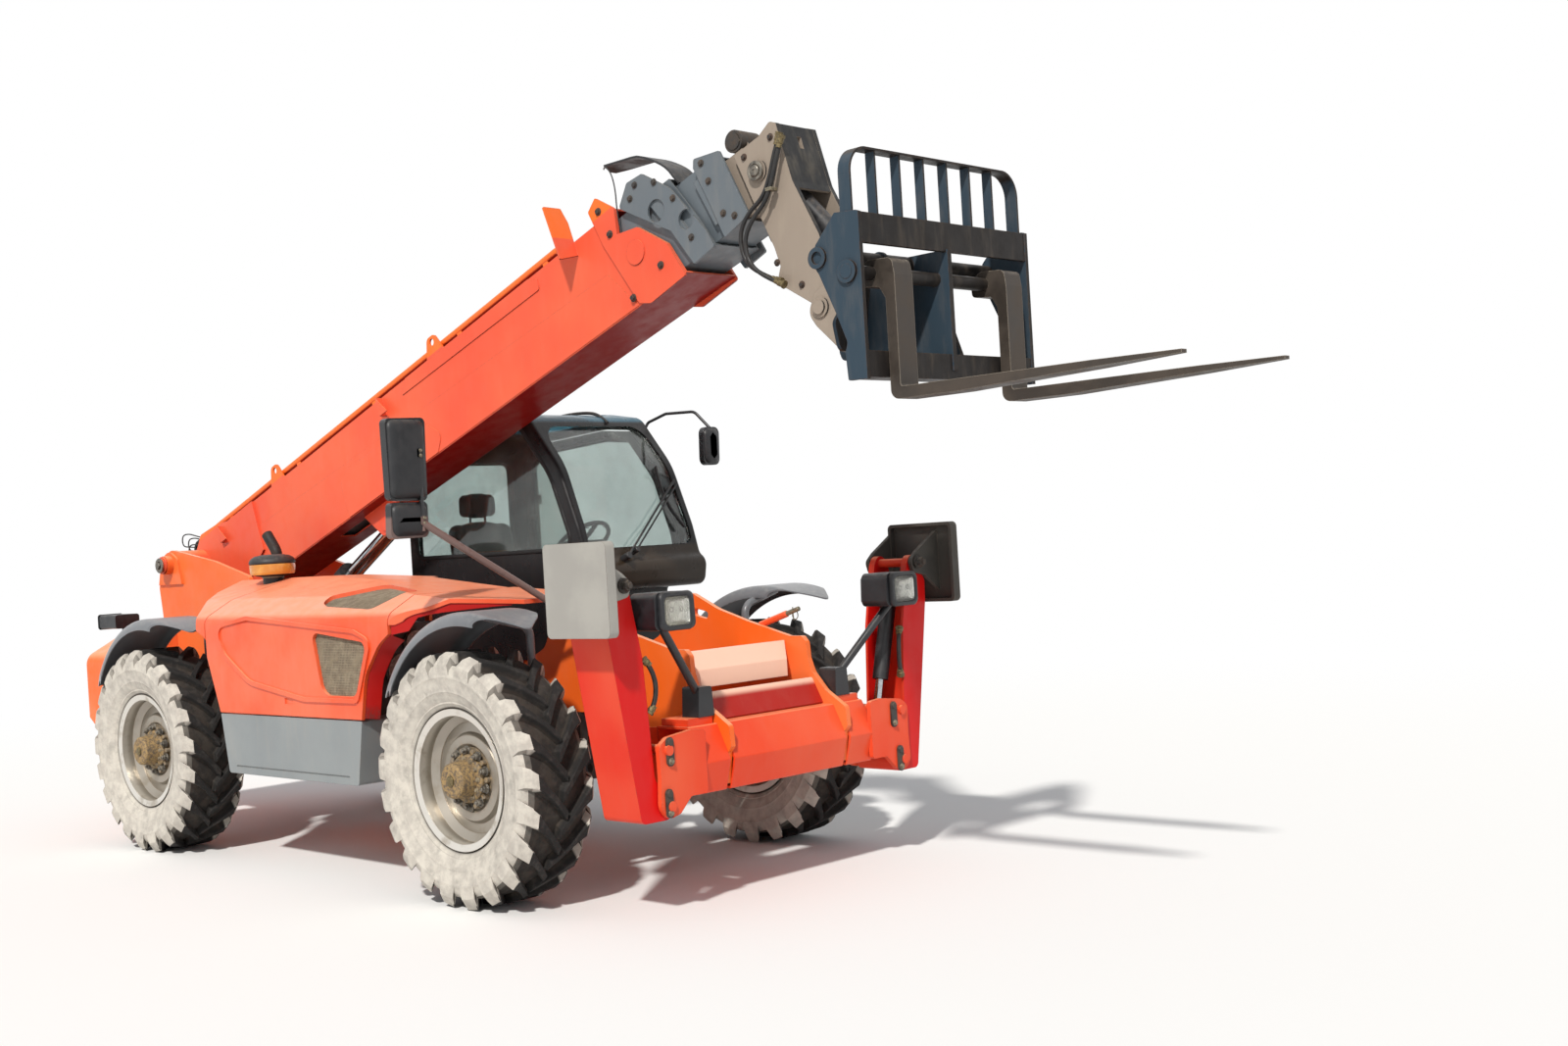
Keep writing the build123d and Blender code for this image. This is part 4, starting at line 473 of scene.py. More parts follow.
# %% Glass
def clear_glass(name, tint, haze, rough=0.03, haze_share=0.25, side_tint=None):
    """Tinted glass with a film of dust; lamps shine through it. side_tint darkens panes that look sideways, as a
    painted dark reflection.
    """
    material, tree = blank(name)
    tone = shade(tint)
    if side_tint:
        sideways = sums(tree, "ABSOLUTE", looks(tree, 1))
        tone = blend(tree, band(tree, sideways, 0.7, 0.85), tone, shade(side_tint))
    film = band(tree, noise(tree, 160, 5, 0.6), 0.42, 0.72, 0.03, haze_share)
    glass = add(tree, "ShaderNodeBsdfPrincipled", Base_Color=tone, Roughness=rough, IOR=1.45,
                Transmission_Weight=1.0)
    dust = add(tree, "ShaderNodeBsdfPrincipled", Base_Color=shade(haze), Roughness=0.8)
    pane = add(tree, "ShaderNodeMixShader", in0=film, in1=glass.outputs[0], in2=dust.outputs[0])
    through = add(tree, "ShaderNodeBsdfTransparent", Color=tone)
    shadow = add(tree, "ShaderNodeLightPath").outputs["Is Shadow Ray"]
    both = add(tree, "ShaderNodeMixShader", in0=shadow, in1=pane.outputs[0], in2=through.outputs[0])
    add(tree, "ShaderNodeOutputMaterial", Surface=both.outputs[0])
    return material


# %% Panes, lenses and mirrors
# The side panes are tinted darker: a painted reflection.
cab_glass = clear_glass("green_tinted_cab_glass", "#E8F0EE", "#C4C8C4", haze_share=0.10, side_tint="#B4C0BC")
lamp_glass = clear_glass("fluted_lamp_glass", "#F2F2EE", "#CFC9BC", 0.08, 0.15)
amber_bowl = mixed_finish("amber_precleaner_bowl", "#C9842F", "#D9A04A", 90, (0.2, 0.3), 0.0, 2, 0.03, edge=0,
                          Coat_Weight=0.4, Coat_Roughness=0.15)
reflector = mixed_finish("aluminised_reflector", "#D9D9D6", "#BDBDB8", 25, (0.12, 0.2), 1.0, 1, 0.02, edge=0)
mirror_glass = mixed_finish("mirror_silvering", "#C9CDD0", "#B9BEC2", 60, (0.04, 0.08), 1.0, 1, 0.0, edge=0)
red_lens = mixed_finish("red_lamp_lens", "#8E120E", "#B02018", 20, (0.2, 0.3), 0.0, 4, 0.1, edge=0)
amber_lens = mixed_finish("amber_lamp_lens", "#C9661A", "#DC7F2A", 20, (0.2, 0.3), 0.0, 4, 0.1, edge=0)


# %% Seat cloth
WEAVE_SCALE = 78.0    # real threads lie 1.5 mm apart; this draws them at 4 mm, to show behind the glass


def seat_cloth():
    """Woven upholstery cloth: a fine over-and-under weave with the sheen of its fibres."""
    material, tree = blank("woven_seat_cloth")
    place = add(tree, "ShaderNodeTexCoord").outputs["Object"]
    warp, weft = (add(tree, "ShaderNodeTexWave", {"bands_direction": way}, Vector=place, Scale=WEAVE_SCALE,
                      Distortion=0.4).outputs[1] for way in "YZ")
    weave = sums(tree, "MULTIPLY", warp, weft)
    tone = band(tree, noise(tree, 90, 4), 0.35, 0.7)
    colour = blend(tree, tone, shade("#26272B"), shade("#3B3A3B"))
    colour = blend(tree, sums(tree, "MULTIPLY", weave, 0.5), colour, shade("#4E4D4E"))
    return finish_material(material, tree, weave, 0.6, 0.7, Base_Color=colour, Roughness=0.9, Sheen_Weight=0.4,
                           Sheen_Roughness=0.5)


cloth = seat_cloth()
print("materials", len(bpy.data.materials))

# %% [markdown]
# ## A finish for every CAD node
#
# Each node of the frame gets its finish by name. Panels that face the sun are bleached, with painted
# light on their upper faces, the boom and the stabilisers stay redder, and everything that touches grease
# or soil is dark. The left stabiliser pad takes a darker copy of the pad finish, which is painted shade.

# %% Dress the CAD nodes
finish_of = {
    "chassis_frame": paint_frame, "counterweight": paint_frame, "stabiliser_beam": paint_beam,
    "front_cover": paint_cover, "engine_block": cast_iron, "tank_box": paint_tank, "transmission": cast_iron,
    "left_step": paint_tank, "body_panels": paint_orange, "front_axle": dark_steel, "rear_axle": dark_steel,
    "cab_shell": paint_cab, "cab_glass": cab_glass, "console": trim_plastic, "mirrors": paint_mirror,
    "lamps": mirror_plastic, "air_precleaner": trim_plastic, "exhaust_stack": exhaust_black,
    "engine_hood": paint_orange, "hood_grilles": mesh_dust, "cab_door": paint_cab, "cab_door_glass": cab_glass,
    "boom_base": paint_red, "boom_section_2": paint_section, "boom_section_3": paint_section,
    "boom_head": paint_head, "lift_cylinder_barrel": cylinder_black, "lift_cylinder_rod": chrome,
    "tilt_cylinder_barrel": cylinder_black, "tilt_cylinder_rod": chrome, "quick_hitch": paint_head,
    "fork_carriage": paint_charcoal, "fork_left": fork_steel, "fork_right": fork_steel, "seat": cloth}
for corner in CORNERS:
    finish_of[f"rim_{corner}"], finish_of[f"tyre_{corner}"] = lacquer, rubber
    finish_of[f"knuckle_{corner}"], finish_of[f"mudguard_{corner}"] = cast_iron, guard_plastic
# The left pad takes the darker copy, which is painted shade.
for (side, _), pad_finish in zip(SIDES, (dark_pad_steel, pad_steel)):
    finish_of[f"stabiliser_leg_{side}"], finish_of[f"stabiliser_pad_{side}"] = paint_leg, pad_finish
    finish_of[f"stabiliser_barrel_{side}"], finish_of[f"stabiliser_rod_{side}"] = cylinder_black, chrome
for name, node in nodes.items():
    node.data.materials.clear()
    node.data.materials.append(finish_of[name])
print("dressed", len(nodes), "CAD nodes")

# %% [markdown]
# ## Making meshes
#
# New pieces are made at their place in the model, with the object itself left at the origin. A few
# helpers cover nearly everything: rings of points skinned into a surface, a block with rounded edges,
# a profile turned round an axis, and one that makes a finished mesh a piece which rides on one of the
# machine's moving bodies.

# %% Mesh helpers
def hang(name, source, material, body, smooth=35):
    """Turns a bmesh or mesh into a piece that rides on body and takes material as its finish."""
    if isinstance(source, bmesh.types.BMesh):
        mesh = bpy.data.meshes.new(name)
        source.to_mesh(mesh)
        source.free()
    else:
        mesh = source
        mesh.name = name
    mesh.materials.clear()
    mesh.materials.append(material)
    mesh.shade_smooth()
    mesh.set_sharp_from_angle(angle=math.radians(smooth))
    made = bpy.data.objects.new(name, mesh)
    bpy.context.scene.collection.objects.link(made)
    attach(made, body)
    return made


def loft(sections, closed_ends=True):
    """Skins a list of same-length point rings; returns a bmesh with its faces outwards."""
    bm = bmesh.new()
    rows = [[bm.verts.new(p) for p in section] for section in sections]
    count = len(rows[0])
    for a, b in zip(rows, rows[1:]):
        for i in range(count):
            j = (i + 1) % count
            bm.faces.new((a[i], a[j], b[j], b[i]))
    if closed_ends:
        bm.faces.new(list(reversed(rows[0])))
        bm.faces.new(rows[-1])
    bmesh.ops.recalc_face_normals(bm, faces=bm.faces)
    return bm


def brick(low, high, round_by=0.0):
    """Block between two corners, edges rounded by round_by."""
    (x0, y0, z0), (x1, y1, z1) = low, high
    foot = [Vector((x, y, z0)) for x, y in ((x0, y0), (x1, y0), (x1, y1), (x0, y1))]
    bm = loft([foot, [p + Vector((0, 0, z1 - z0)) for p in foot]])
    if round_by:
        bmesh.ops.bevel(bm, geom=list(bm.edges), offset=round_by, segments=2, profile=0.5, affect="EDGES",
                        clamp_overlap=True)
        bmesh.ops.recalc_face_normals(bm, faces=bm.faces)
    return bm


def turned(profile, steps, centre=(0, 0, 0), axis=(0, 1, 0), shut=True):
    """Turns a profile of (radius, distance along the axis) round the axis; shut joins its two ends."""
    axis = Vector(axis).normalized()
    first = axis.orthogonal().normalized()
    second = axis.cross(first)
    centre = Vector(centre)
    bm = bmesh.new()
    rows = []
    for i in range(steps):
        turn = 2 * math.pi * i / steps
        spoke = first * math.cos(turn) + second * math.sin(turn)
        rows.append([bm.verts.new(centre + spoke * r + axis * y) for r, y in profile])
    count = len(profile)
    for i in range(steps):
        a, b = rows[i], rows[(i + 1) % steps]
        for k in range(count if shut else count - 1):
            bm.faces.new((a[k], a[(k + 1) % count], b[(k + 1) % count], b[k]))
    bmesh.ops.remove_doubles(bm, verts=bm.verts, dist=1e-6)
    bmesh.ops.recalc_face_normals(bm, faces=bm.faces)
    return bm


def rod(a, b, radius, sides=20, tip=0.0):
    """Round rod from a to b with chamfered ends of length tip."""
    a, b = Vector(a), Vector(b)
    span = (b - a).length
    tip = min(tip, span / 3, radius / 2)
    profile = [(0, 0), (radius - tip, 0), (radius, tip), (radius, span - tip), (radius - tip, span), (0, span)]
    return turned(profile, sides, a, b - a, shut=False)


# %% Putting meshes together
def joined(*parts):
    """Several bmeshes as one."""
    whole = bmesh.new()
    for part in parts:
        scrap = bpy.data.meshes.new("scrap")
        part.to_mesh(scrap)
        part.free()
        whole.from_mesh(scrap)
        bpy.data.meshes.remove(scrap)
    return whole


def placed(bm, place, swing):
    """Turns a bmesh about the origin by swing, then moves it to its place."""
    bmesh.ops.transform(bm, matrix=Matrix.Translation(place) @ swing, verts=bm.verts)
    return bm


# %% [markdown]
# ## Copies round a wheel, as a Geometry Nodes tree
#
# A tyre's lugs, a rim's nuts and a hub's bolts are one small shape repeated round an axle. Modelling
# them by hand would give no way to change their number later. The tree below puts Count copies of a
# seed object round the Y axis, moves them to the axle, joins them to the mesh it is given and realizes
# them, because an exported model can't hold instances.

# %% Ring-of-copies tree
def ring_tree():
    """Geometry Nodes group that repeats a seed object round an axle and joins it to its input."""
    tree = bpy.data.node_groups.new("ring_of_copies", "GeometryNodeTree")
    face = tree.interface
    face.new_socket("Geometry", in_out="OUTPUT", socket_type="NodeSocketGeometry")
    face.new_socket("Geometry", in_out="INPUT", socket_type="NodeSocketGeometry")
    for name, kind in (("Seed", "NodeSocketObject"), ("Count", "NodeSocketInt"), ("Axle", "NodeSocketVector"),
                       ("Material", "NodeSocketMaterial")):
        face.new_socket(name, in_out="INPUT", socket_type=kind)
    given = add(tree, "NodeGroupInput").outputs
    seed = add(tree, "GeometryNodeObjectInfo", in0=given["Seed"]).outputs["Geometry"]
    points = add(tree, "GeometryNodePoints", Count=given["Count"], Position=given["Axle"]).outputs[0]
    index = add(tree, "GeometryNodeInputIndex").outputs[0]
    share = sums(tree, "DIVIDE", index, given["Count"])
    turn = add(tree, "ShaderNodeCombineXYZ", Y=sums(tree, "MULTIPLY", share, 2 * math.pi)).outputs[0]
    copies = add(tree, "GeometryNodeInstanceOnPoints", Points=points, Instance=seed, Rotation=turn).outputs[0]
    real = add(tree, "GeometryNodeRealizeInstances", Geometry=copies).outputs[0]
    join = add(tree, "GeometryNodeJoinGeometry")
    tree.links.new(given["Geometry"], join.inputs[0])
    tree.links.new(real, join.inputs[0])
    finish = add(tree, "GeometryNodeSetMaterial", Geometry=join.outputs[0], Material=given["Material"]).outputs[0]
    add(tree, "NodeGroupOutput", Geometry=finish)
    return tree


def run_tree(tree, mesh, **values):
    """Runs a tree on a mesh with its named inputs set, and returns the plain mesh it makes."""
    holder = bpy.data.objects.new("holder", mesh)
    bpy.context.scene.collection.objects.link(holder)
    modifier = holder.modifiers.new("tree", "NODES")
    modifier.node_group = tree
    sockets = {s.name: s.identifier for s in tree.interface.items_tree if s.in_out == "INPUT"}
    for name, value in values.items():
        modifier[sockets[name.replace("_", " ")]] = value
    bpy.context.view_layer.update()
    made = bpy.data.meshes.new_from_object(holder.evaluated_get(bpy.context.evaluated_depsgraph_get()))
    bpy.data.objects.remove(holder)
    return made


def seed_object(name, bm):
    """An unlinked helper object that a tree copies."""
    mesh = bpy.data.meshes.new(name)
    bm.to_mesh(mesh)
    bm.free()
    return bpy.data.objects.new(name, mesh)


rings = ring_tree()

# %% [markdown]
# ## Tyres with traction lugs
#
# A traction tyre is a smooth carcass with two rows of slanting bars, one row half a pitch behind the
# other, whose inner ends lead as the machine rolls forward so that mud is pushed outwards. The CAD
# tyre is a plain drum for collision, so this piece stands for it. One pair of bars is modelled at the
# top of the wheel in unrolled form (how far across, how far round, how high) and wrapped on the
# carcass; the tree repeats it 21 times, and each wheel is then turned by its own angle.

# %% Lugs
LUGS = 21
LUG_FROM, LUG_WIDTH = -0.014, 0.217   # where a bar starts, past the middle plane, and how far it reaches
SHOULDER = 0.155                      # how far from the middle plane the tread starts to fall away


def carcass_radius(across):
    """Radius of the carcass at a distance from its middle plane."""
    stops = [(0.0, 0.570), (0.09, 0.568), (0.15, 0.562), (0.178, 0.550), (0.195, 0.528), (0.203, 0.505)]
    for (w0, r0), (w1, r1) in zip(stops, stops[1:]):
        if across <= w1:
            return r0 + (r1 - r0) * max(0.0, across - w0) / (w1 - w0)
    return stops[-1][1]


def lug(hand, back):
    """One bar from just past the middle to the shoulder; back is its lag round the wheel, in radians."""
    stations = []
    steps = 10
    for i in range(steps + 1):
        t = i / steps
        across = LUG_FROM + LUG_WIDTH * t
        lead = 0.34 * (1 - t) ** 1.25 + back
        half_top = 0.018 + 0.026 * t ** 2.5 + 0.003 * math.cos(t * 7)
        half_base = half_top + 0.010
        if across < SHOULDER:
            top = TYRE_R
        else:
            top = TYRE_R - 0.055 * ((across - SHOULDER) / 0.048) ** 1.8
        base = carcass_radius(abs(across)) - 0.006
        ring = []
        for radius, offset in ((base, half_base), (top - 0.004, half_top + 0.002), (top, half_top - 0.003),
                               (top, 0.003 - half_top), (top - 0.004, -half_top - 0.002), (base, -half_base)):
            angle = lead + offset / radius
            ring.append((radius * math.sin(angle), hand * across, radius * math.cos(angle)))
        stations.append(ring)
    return loft(stations)


# %% Carcass
def carcass():
    """Tyre body: beads, ridged side walls, shoulders and the floor between the lugs."""
    outer = [(0.334, 0.128), (0.341, 0.139), (0.349, 0.150), (0.362, 0.158), (0.367, 0.164), (0.374, 0.164),
             (0.379, 0.168), (0.398, 0.178), (0.418, 0.186), (0.423, 0.190), (0.431, 0.190), (0.436, 0.191),
             (0.460, 0.197), (0.487, 0.200), (0.493, 0.204), (0.502, 0.204), (0.506, 0.201), (0.520, 0.198),
             (0.530, 0.194), (0.550, 0.178), (0.562, 0.151), (0.568, 0.092), (0.570, 0.045), (0.570, 0.0)]
    inner = [(0.548, 0.0), (0.546, 0.10), (0.530, 0.160), (0.49, 0.176), (0.42, 0.162), (0.35, 0.124), (0.334, 0.112)]
    profile = outer + [(r, -w) for r, w in reversed(outer[:-1])]
    profile += [(r, -w) for r, w in reversed(inner[1:])] + inner
    return turned(profile, 88)


# %% Four tyres from one mesh
pair = joined(lug(1, 0.0), lug(-1, math.pi / LUGS))
pair_seed = seed_object("lug_pair", pair)
tyre_body = carcass()
tyre_base = bpy.data.meshes.new("tyre_base")
tyre_body.to_mesh(tyre_base)
tyre_body.free()
whole_tyre = run_tree(rings, tyre_base, Seed=pair_seed, Count=LUGS, Axle=(0, 0, 0), Material=rubber)
for corner, (sx, sy) in CORNERS.items():
    mesh = whole_tyre.copy()
    stopped_at = Matrix.Rotation(0.17 * (sx + 2 * sy), 4, "Y")
    mesh.transform(Matrix.Translation(wheel_centre(sx, sy)) @ stopped_at)
    tyre = hang(f"lugged_tyre_{corner}", mesh, rubber, f"wheel_{corner}", 30)
    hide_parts(f"tyre_{corner}")
print("tyre triangles", sum(len(p.vertices) - 2 for p in whole_tyre.polygons))

# %% [markdown]
# ## Wheel nuts, hub bolts and valves
#
# Ten nuts hold each rim and twelve smaller bolts close the planetary hub. They are the first thing an
# eye uses to judge a wheel's size, so each is a real hexagon with a chamfer and a washer face. One of
# each stands above the axle, pointing out on its own side, and the ring-of-copies tree repeats it.

# %% Hexagon bolts
NUTS, NUT_CIRCLE, NUT_FACE = 10, 0.134, 0.078           # how many, their circle's radius, their seat
SCREWS, SCREW_CIRCLE, SCREW_FACE = 12, 0.096, 0.102     # the same for the hub's bolts


def hex_bolt(across, height, washer=1.35, stud=0.0):
    """Hexagon head on a washer, standing along +Z from the origin, with a stud end if asked."""
    radius = across / math.sqrt(3)
    corners = [(radius * math.cos(math.pi * i / 3), radius * math.sin(math.pi * i / 3)) for i in range(6)]
    thin = height * 0.22
    rows = [[(x * k, y * k, z) for x, y in corners] for k, z in ((1, thin * 0.8), (1, height - thin), (0.86, height))]
    head = loft(rows)
    disc = turned([(0, 0), (radius * washer, 0), (radius * washer, thin * 0.8), (radius * washer - 0.001, thin),
                   (0, thin)], 18, axis=(0, 0, 1), shut=False)
    parts = [head, disc]
    if stud:
        shank, top = radius * 0.55, height + stud
        parts.append(turned([(0, height - 0.001), (shank, height - 0.001), (shank, height + stud * 0.8),
                             (radius * 0.45, top), (0, top)], 12, axis=(0, 0, 1), shut=False))
    return joined(*parts)


def empty_mesh():
    """A mesh with nothing in it, for trees that only need their inputs."""
    return bpy.data.meshes.new("nothing")


def turned_out(bm, radius, depth, hand):
    """Moves a bolt that stands on the origin to the top of a wheel, pointing out to one side."""
    return placed(bm, (0, hand * depth, radius), Matrix.Rotation(math.radians(-90 * hand), 4, "X"))


# %% Nuts, bolts and plug of each wheel
for corner, (sx, sy) in CORNERS.items():
    axle = wheel_centre(sx, sy)
    nut = seed_object("nut", turned_out(hex_bolt(0.032, 0.024, 1.3, 0.012), NUT_CIRCLE, NUT_FACE, sy))
    nuts = run_tree(rings, empty_mesh(), Seed=nut, Count=NUTS, Axle=axle, Material=pin_steel)
    hang(f"wheel_nuts_{corner}", nuts, pin_steel, f"wheel_{corner}")
    screw = seed_object("screw", turned_out(hex_bolt(0.017, 0.011), SCREW_CIRCLE, SCREW_FACE, sy))
    # the pale dust of the screens' backing lies on these bolts too
    screws = run_tree(rings, empty_mesh(), Seed=screw, Count=SCREWS, Axle=axle, Material=mesh_dust)
    hang(f"hub_bolts_{corner}", screws, mesh_dust, f"wheel_{corner}")
    centre = Vector(axle)
    plug = turned([(0, 0.186), (0.026, 0.186), (0.026, 0.196), (0.020, 0.200), (0, 0.200)], 24,
                  centre, (0, sy, 0), shut=False)
    valve = rod(centre + Vector((0.18, sy * 0.072, 0.19)), centre + Vector((0.205, sy * 0.115, 0.215)), 0.006, 10)
    hang(f"hub_plug_{corner}", joined(plug, valve), brass, f"wheel_{corner}")
print("wheel nuts", NUTS, "and hub bolts", SCREWS, "on each of", len(CORNERS), "wheels")

# %% [markdown]
# ## Bolts where the plates need them
#
# A second tree puts a bolt on every point of a small mesh and turns it to face along that point's
# stored direction, with a random spin from a fixed seed, because nobody lines up the flats of real
# bolts. So each group of bolts is just a short list of places.

# %% Bolts-on-points tree
def bolt_tree():
    """Geometry Nodes group that stands a seed object on each point, along its "facing" attribute."""
    tree = bpy.data.node_groups.new("bolts_on_points", "GeometryNodeTree")
    face = tree.interface
    face.new_socket("Geometry", in_out="OUTPUT", socket_type="NodeSocketGeometry")
    face.new_socket("Geometry", in_out="INPUT", socket_type="NodeSocketGeometry")
    for name, kind in (("Bolt", "NodeSocketObject"), ("Spin Seed", "NodeSocketInt"),
                       ("Material", "NodeSocketMaterial")):
        face.new_socket(name, in_out="INPUT", socket_type=kind)
    given = add(tree, "NodeGroupInput").outputs
    bolt = add(tree, "GeometryNodeObjectInfo", in0=given["Bolt"]).outputs["Geometry"]
    facing = add(tree, "GeometryNodeInputNamedAttribute", {"data_type": "FLOAT_VECTOR"}, Name="facing").outputs[0]
    upright = add(tree, "FunctionNodeAlignRotationToVector", {"axis": "Z"}, Vector=facing).outputs[0]
    spin = add(tree, "FunctionNodeRandomValue", {"data_type": "FLOAT"}, in2=0.0, in3=6.28, Seed=given["Spin Seed"])
    about = add(tree, "FunctionNodeAxisAngleToRotation", Axis=(0, 0, 1), Angle=spin.outputs[1]).outputs[0]
    turn = add(tree, "FunctionNodeRotateRotation", {"rotation_space": "LOCAL"}, Rotation=upright, Rotate_By=about)
    copies = add(tree, "GeometryNodeInstanceOnPoints", Points=given["Geometry"], Instance=bolt,
                 Rotation=turn.outputs[0]).outputs[0]
    real = add(tree, "GeometryNodeRealizeInstances", Geometry=copies).outputs[0]
    finish = add(tree, "GeometryNodeSetMaterial", Geometry=real, Material=given["Material"]).outputs[0]
    add(tree, "NodeGroupOutput", Geometry=finish)
    return tree


# %% Bolts on the boom
bolting = bolt_tree()


SPIN_SEED = 1


def bolts(name, places, body, slot, across=0.024, height=0.014, material=zinc):
    """A piece of bolts: places is a list of (point, direction) pairs."""
    mesh = bpy.data.meshes.new("places")
    mesh.from_pydata([tuple(p) for p, _ in places], [], [])
    facing = mesh.attributes.new("facing", "FLOAT_VECTOR", "POINT")
    for i, (_, way) in enumerate(places):
        facing.data[i].vector = way
    head = seed_object("bolt", hex_bolt(across, height))
    made = run_tree(bolting, mesh, Bolt=head, Spin_Seed=SPIN_SEED, Material=material)
    hang(name, made, material, body)
    print(name, len(places))


def boom_bolts(name, places, y, body, slot, **sizes):
    """Bolts on both flanks of the boom: places are (s, h) in the boom's frame, y the flank in mm."""
    pairs = [(on_boom(s, h, hand * y), (0, hand, 0)) for s, h in places for hand in (-1, 1)]
    bolts(name, pairs, body, slot, **sizes)


boom_bolts("boom_end_bolts", [(4704, -275), (4449, 36), (4470, -330), (4420, 180)], 187, "boom",
           "red_paint", across=0.026, material=dark_steel)
boom_bolts("section_2_bolts", [(4822, 113), (4645, 123), (4937, -253), (4904, -23), (4700, 168)], 186,
           "section_2", "section_red", across=0.023, height=0.012, material=cast_iron)
boom_bolts("section_3_bolts", [(5129, -61), (5152, -245), (5210, -290), (5120, 40)], 172, "section_3", "section_red",
           across=0.023, height=0.012, material=cast_iron)
boom_bolts("head_bolts", [(5345, -60), (5520, -60), (5330, -600), (5420, -760)], 141, "head", "hitch_grey",
           across=0.022, height=0.012, material=dark_steel)

# %% [markdown]
# ## Wire screens in the engine hood
#
# The hood breathes through two screens of woven wire. Real wire is about 1 mm at 4 mm spacing; it is
# drawn at 2.4 mm and 13 mm, so that it still shows from across a yard. A flat net is laid over the opening
# from outside and each of its points is dropped on to the CAD screen by a raycast, so the wires follow
# the hood's crown. Where a ray misses the panel, that part of the net is deleted.

# %% Net-on-panel tree
def net_tree():
    """Geometry Nodes group: a wire net dropped along a direction on to a panel object."""
    tree = bpy.data.node_groups.new("net_on_panel", "GeometryNodeTree")
    face = tree.interface
    face.new_socket("Geometry", in_out="OUTPUT", socket_type="NodeSocketGeometry")
    for name, kind in (("Panel", "NodeSocketObject"), ("Middle", "NodeSocketVector"), ("Turn", "NodeSocketVector"),
                       ("Drop", "NodeSocketVector"), ("Width", "NodeSocketFloat"), ("Height", "NodeSocketFloat"),
                       ("Spacing", "NodeSocketFloat"), ("Wire Radius", "NodeSocketFloat"),
                       ("Lift", "NodeSocketFloat"), ("Material", "NodeSocketMaterial")):
        face.new_socket(name, in_out="INPUT", socket_type=kind)
    given = add(tree, "NodeGroupInput").outputs

    def steps(size):
        return add(tree, "FunctionNodeFloatToInt", in0=sums(tree, "DIVIDE", given[size], given["Spacing"])).outputs[0]

    flat = add(tree, "GeometryNodeMeshGrid", Size_X=given["Width"], Size_Y=given["Height"], Vertices_X=steps("Width"),
               Vertices_Y=steps("Height")).outputs[0]
    placed = add(tree, "GeometryNodeTransform", Geometry=flat, Translation=given["Middle"],
                 Rotation=given["Turn"]).outputs[0]
    panel = add(tree, "GeometryNodeObjectInfo", in0=given["Panel"]).outputs["Geometry"]
    ray = add(tree, "GeometryNodeRaycast", Target_Geometry=panel, Ray_Direction=given["Drop"], Ray_Length=2.0)
    outward = add(tree, "ShaderNodeVectorMath", {"operation": "SCALE"}, in0=ray.outputs["Hit Normal"],
                  Scale=given["Lift"])
    landing = add(tree, "ShaderNodeVectorMath", {"operation": "ADD"}, in0=ray.outputs["Hit Position"],
                  in1=outward.outputs[0]).outputs[0]
    kept = add(tree, "GeometryNodeStoreNamedAttribute", {"data_type": "BOOLEAN", "domain": "POINT"}, Geometry=placed,
               Name="hit", Value=ray.outputs["Is Hit"]).outputs[0]
    laid = add(tree, "GeometryNodeSetPosition", Geometry=kept, Position=landing).outputs[0]
    hit = add(tree, "GeometryNodeInputNamedAttribute", {"data_type": "BOOLEAN"}, Name="hit").outputs[0]
    missed = add(tree, "FunctionNodeBooleanMath", {"operation": "NOT"}, in0=hit).outputs[0]
    net = add(tree, "GeometryNodeDeleteGeometry", {"domain": "POINT"}, Geometry=laid, Selection=missed).outputs[0]
    lines = add(tree, "GeometryNodeMeshToCurve", Mesh=net).outputs[0]
    wire = add(tree, "GeometryNodeCurvePrimitiveCircle", Resolution=4, Radius=given["Wire Radius"]).outputs[0]
    tubes = add(tree, "GeometryNodeCurveToMesh", Curve=lines, Profile_Curve=wire, Fill_Caps=True).outputs[0]
    real = add(tree, "GeometryNodeRealizeInstances", Geometry=tubes).outputs[0]
    finish = add(tree, "GeometryNodeSetMaterial", Geometry=real, Material=given["Material"]).outputs[0]
    add(tree, "NodeGroupOutput", Geometry=finish)
    return tree


# %% Side and top screen
WIRE_SPACING, WIRE_RADIUS, WIRE_LIFT = 0.013, 0.0012, 0.0015
nets = net_tree()
screens = {"side_screen": ((0.55, -1.30, 1.15), (math.pi / 2, 0, 0), (0, 1, 0), 0.56, 0.40),
           "top_screen": ((0.56, -0.91, 1.75), (0, 0, 0), (0, 0, -1), 0.86, 0.38)}
for name, (middle, turn, drop, width, height) in screens.items():
    wires = run_tree(nets, empty_mesh(), Panel=nodes["hood_grilles"], Middle=middle, Turn=turn, Drop=drop,
                     Width=width, Height=height, Spacing=WIRE_SPACING, Wire_Radius=WIRE_RADIUS, Lift=WIRE_LIFT,
                     Material=mesh_wire)
    made = hang(name, wires, mesh_wire, "engine_hood", 60)
    print(name, "faces", len(made.data.polygons))

# %% [markdown]
# ## Rubber seals round the cab glass
#
# Glass is never set straight into steel: a black rubber section is pressed over the opening's edge and
# shows as a dark line a thumb wide. Each window's outline is written as corners with a rounding
# radius, one function rounds them, and a flat strip is laid round the result.

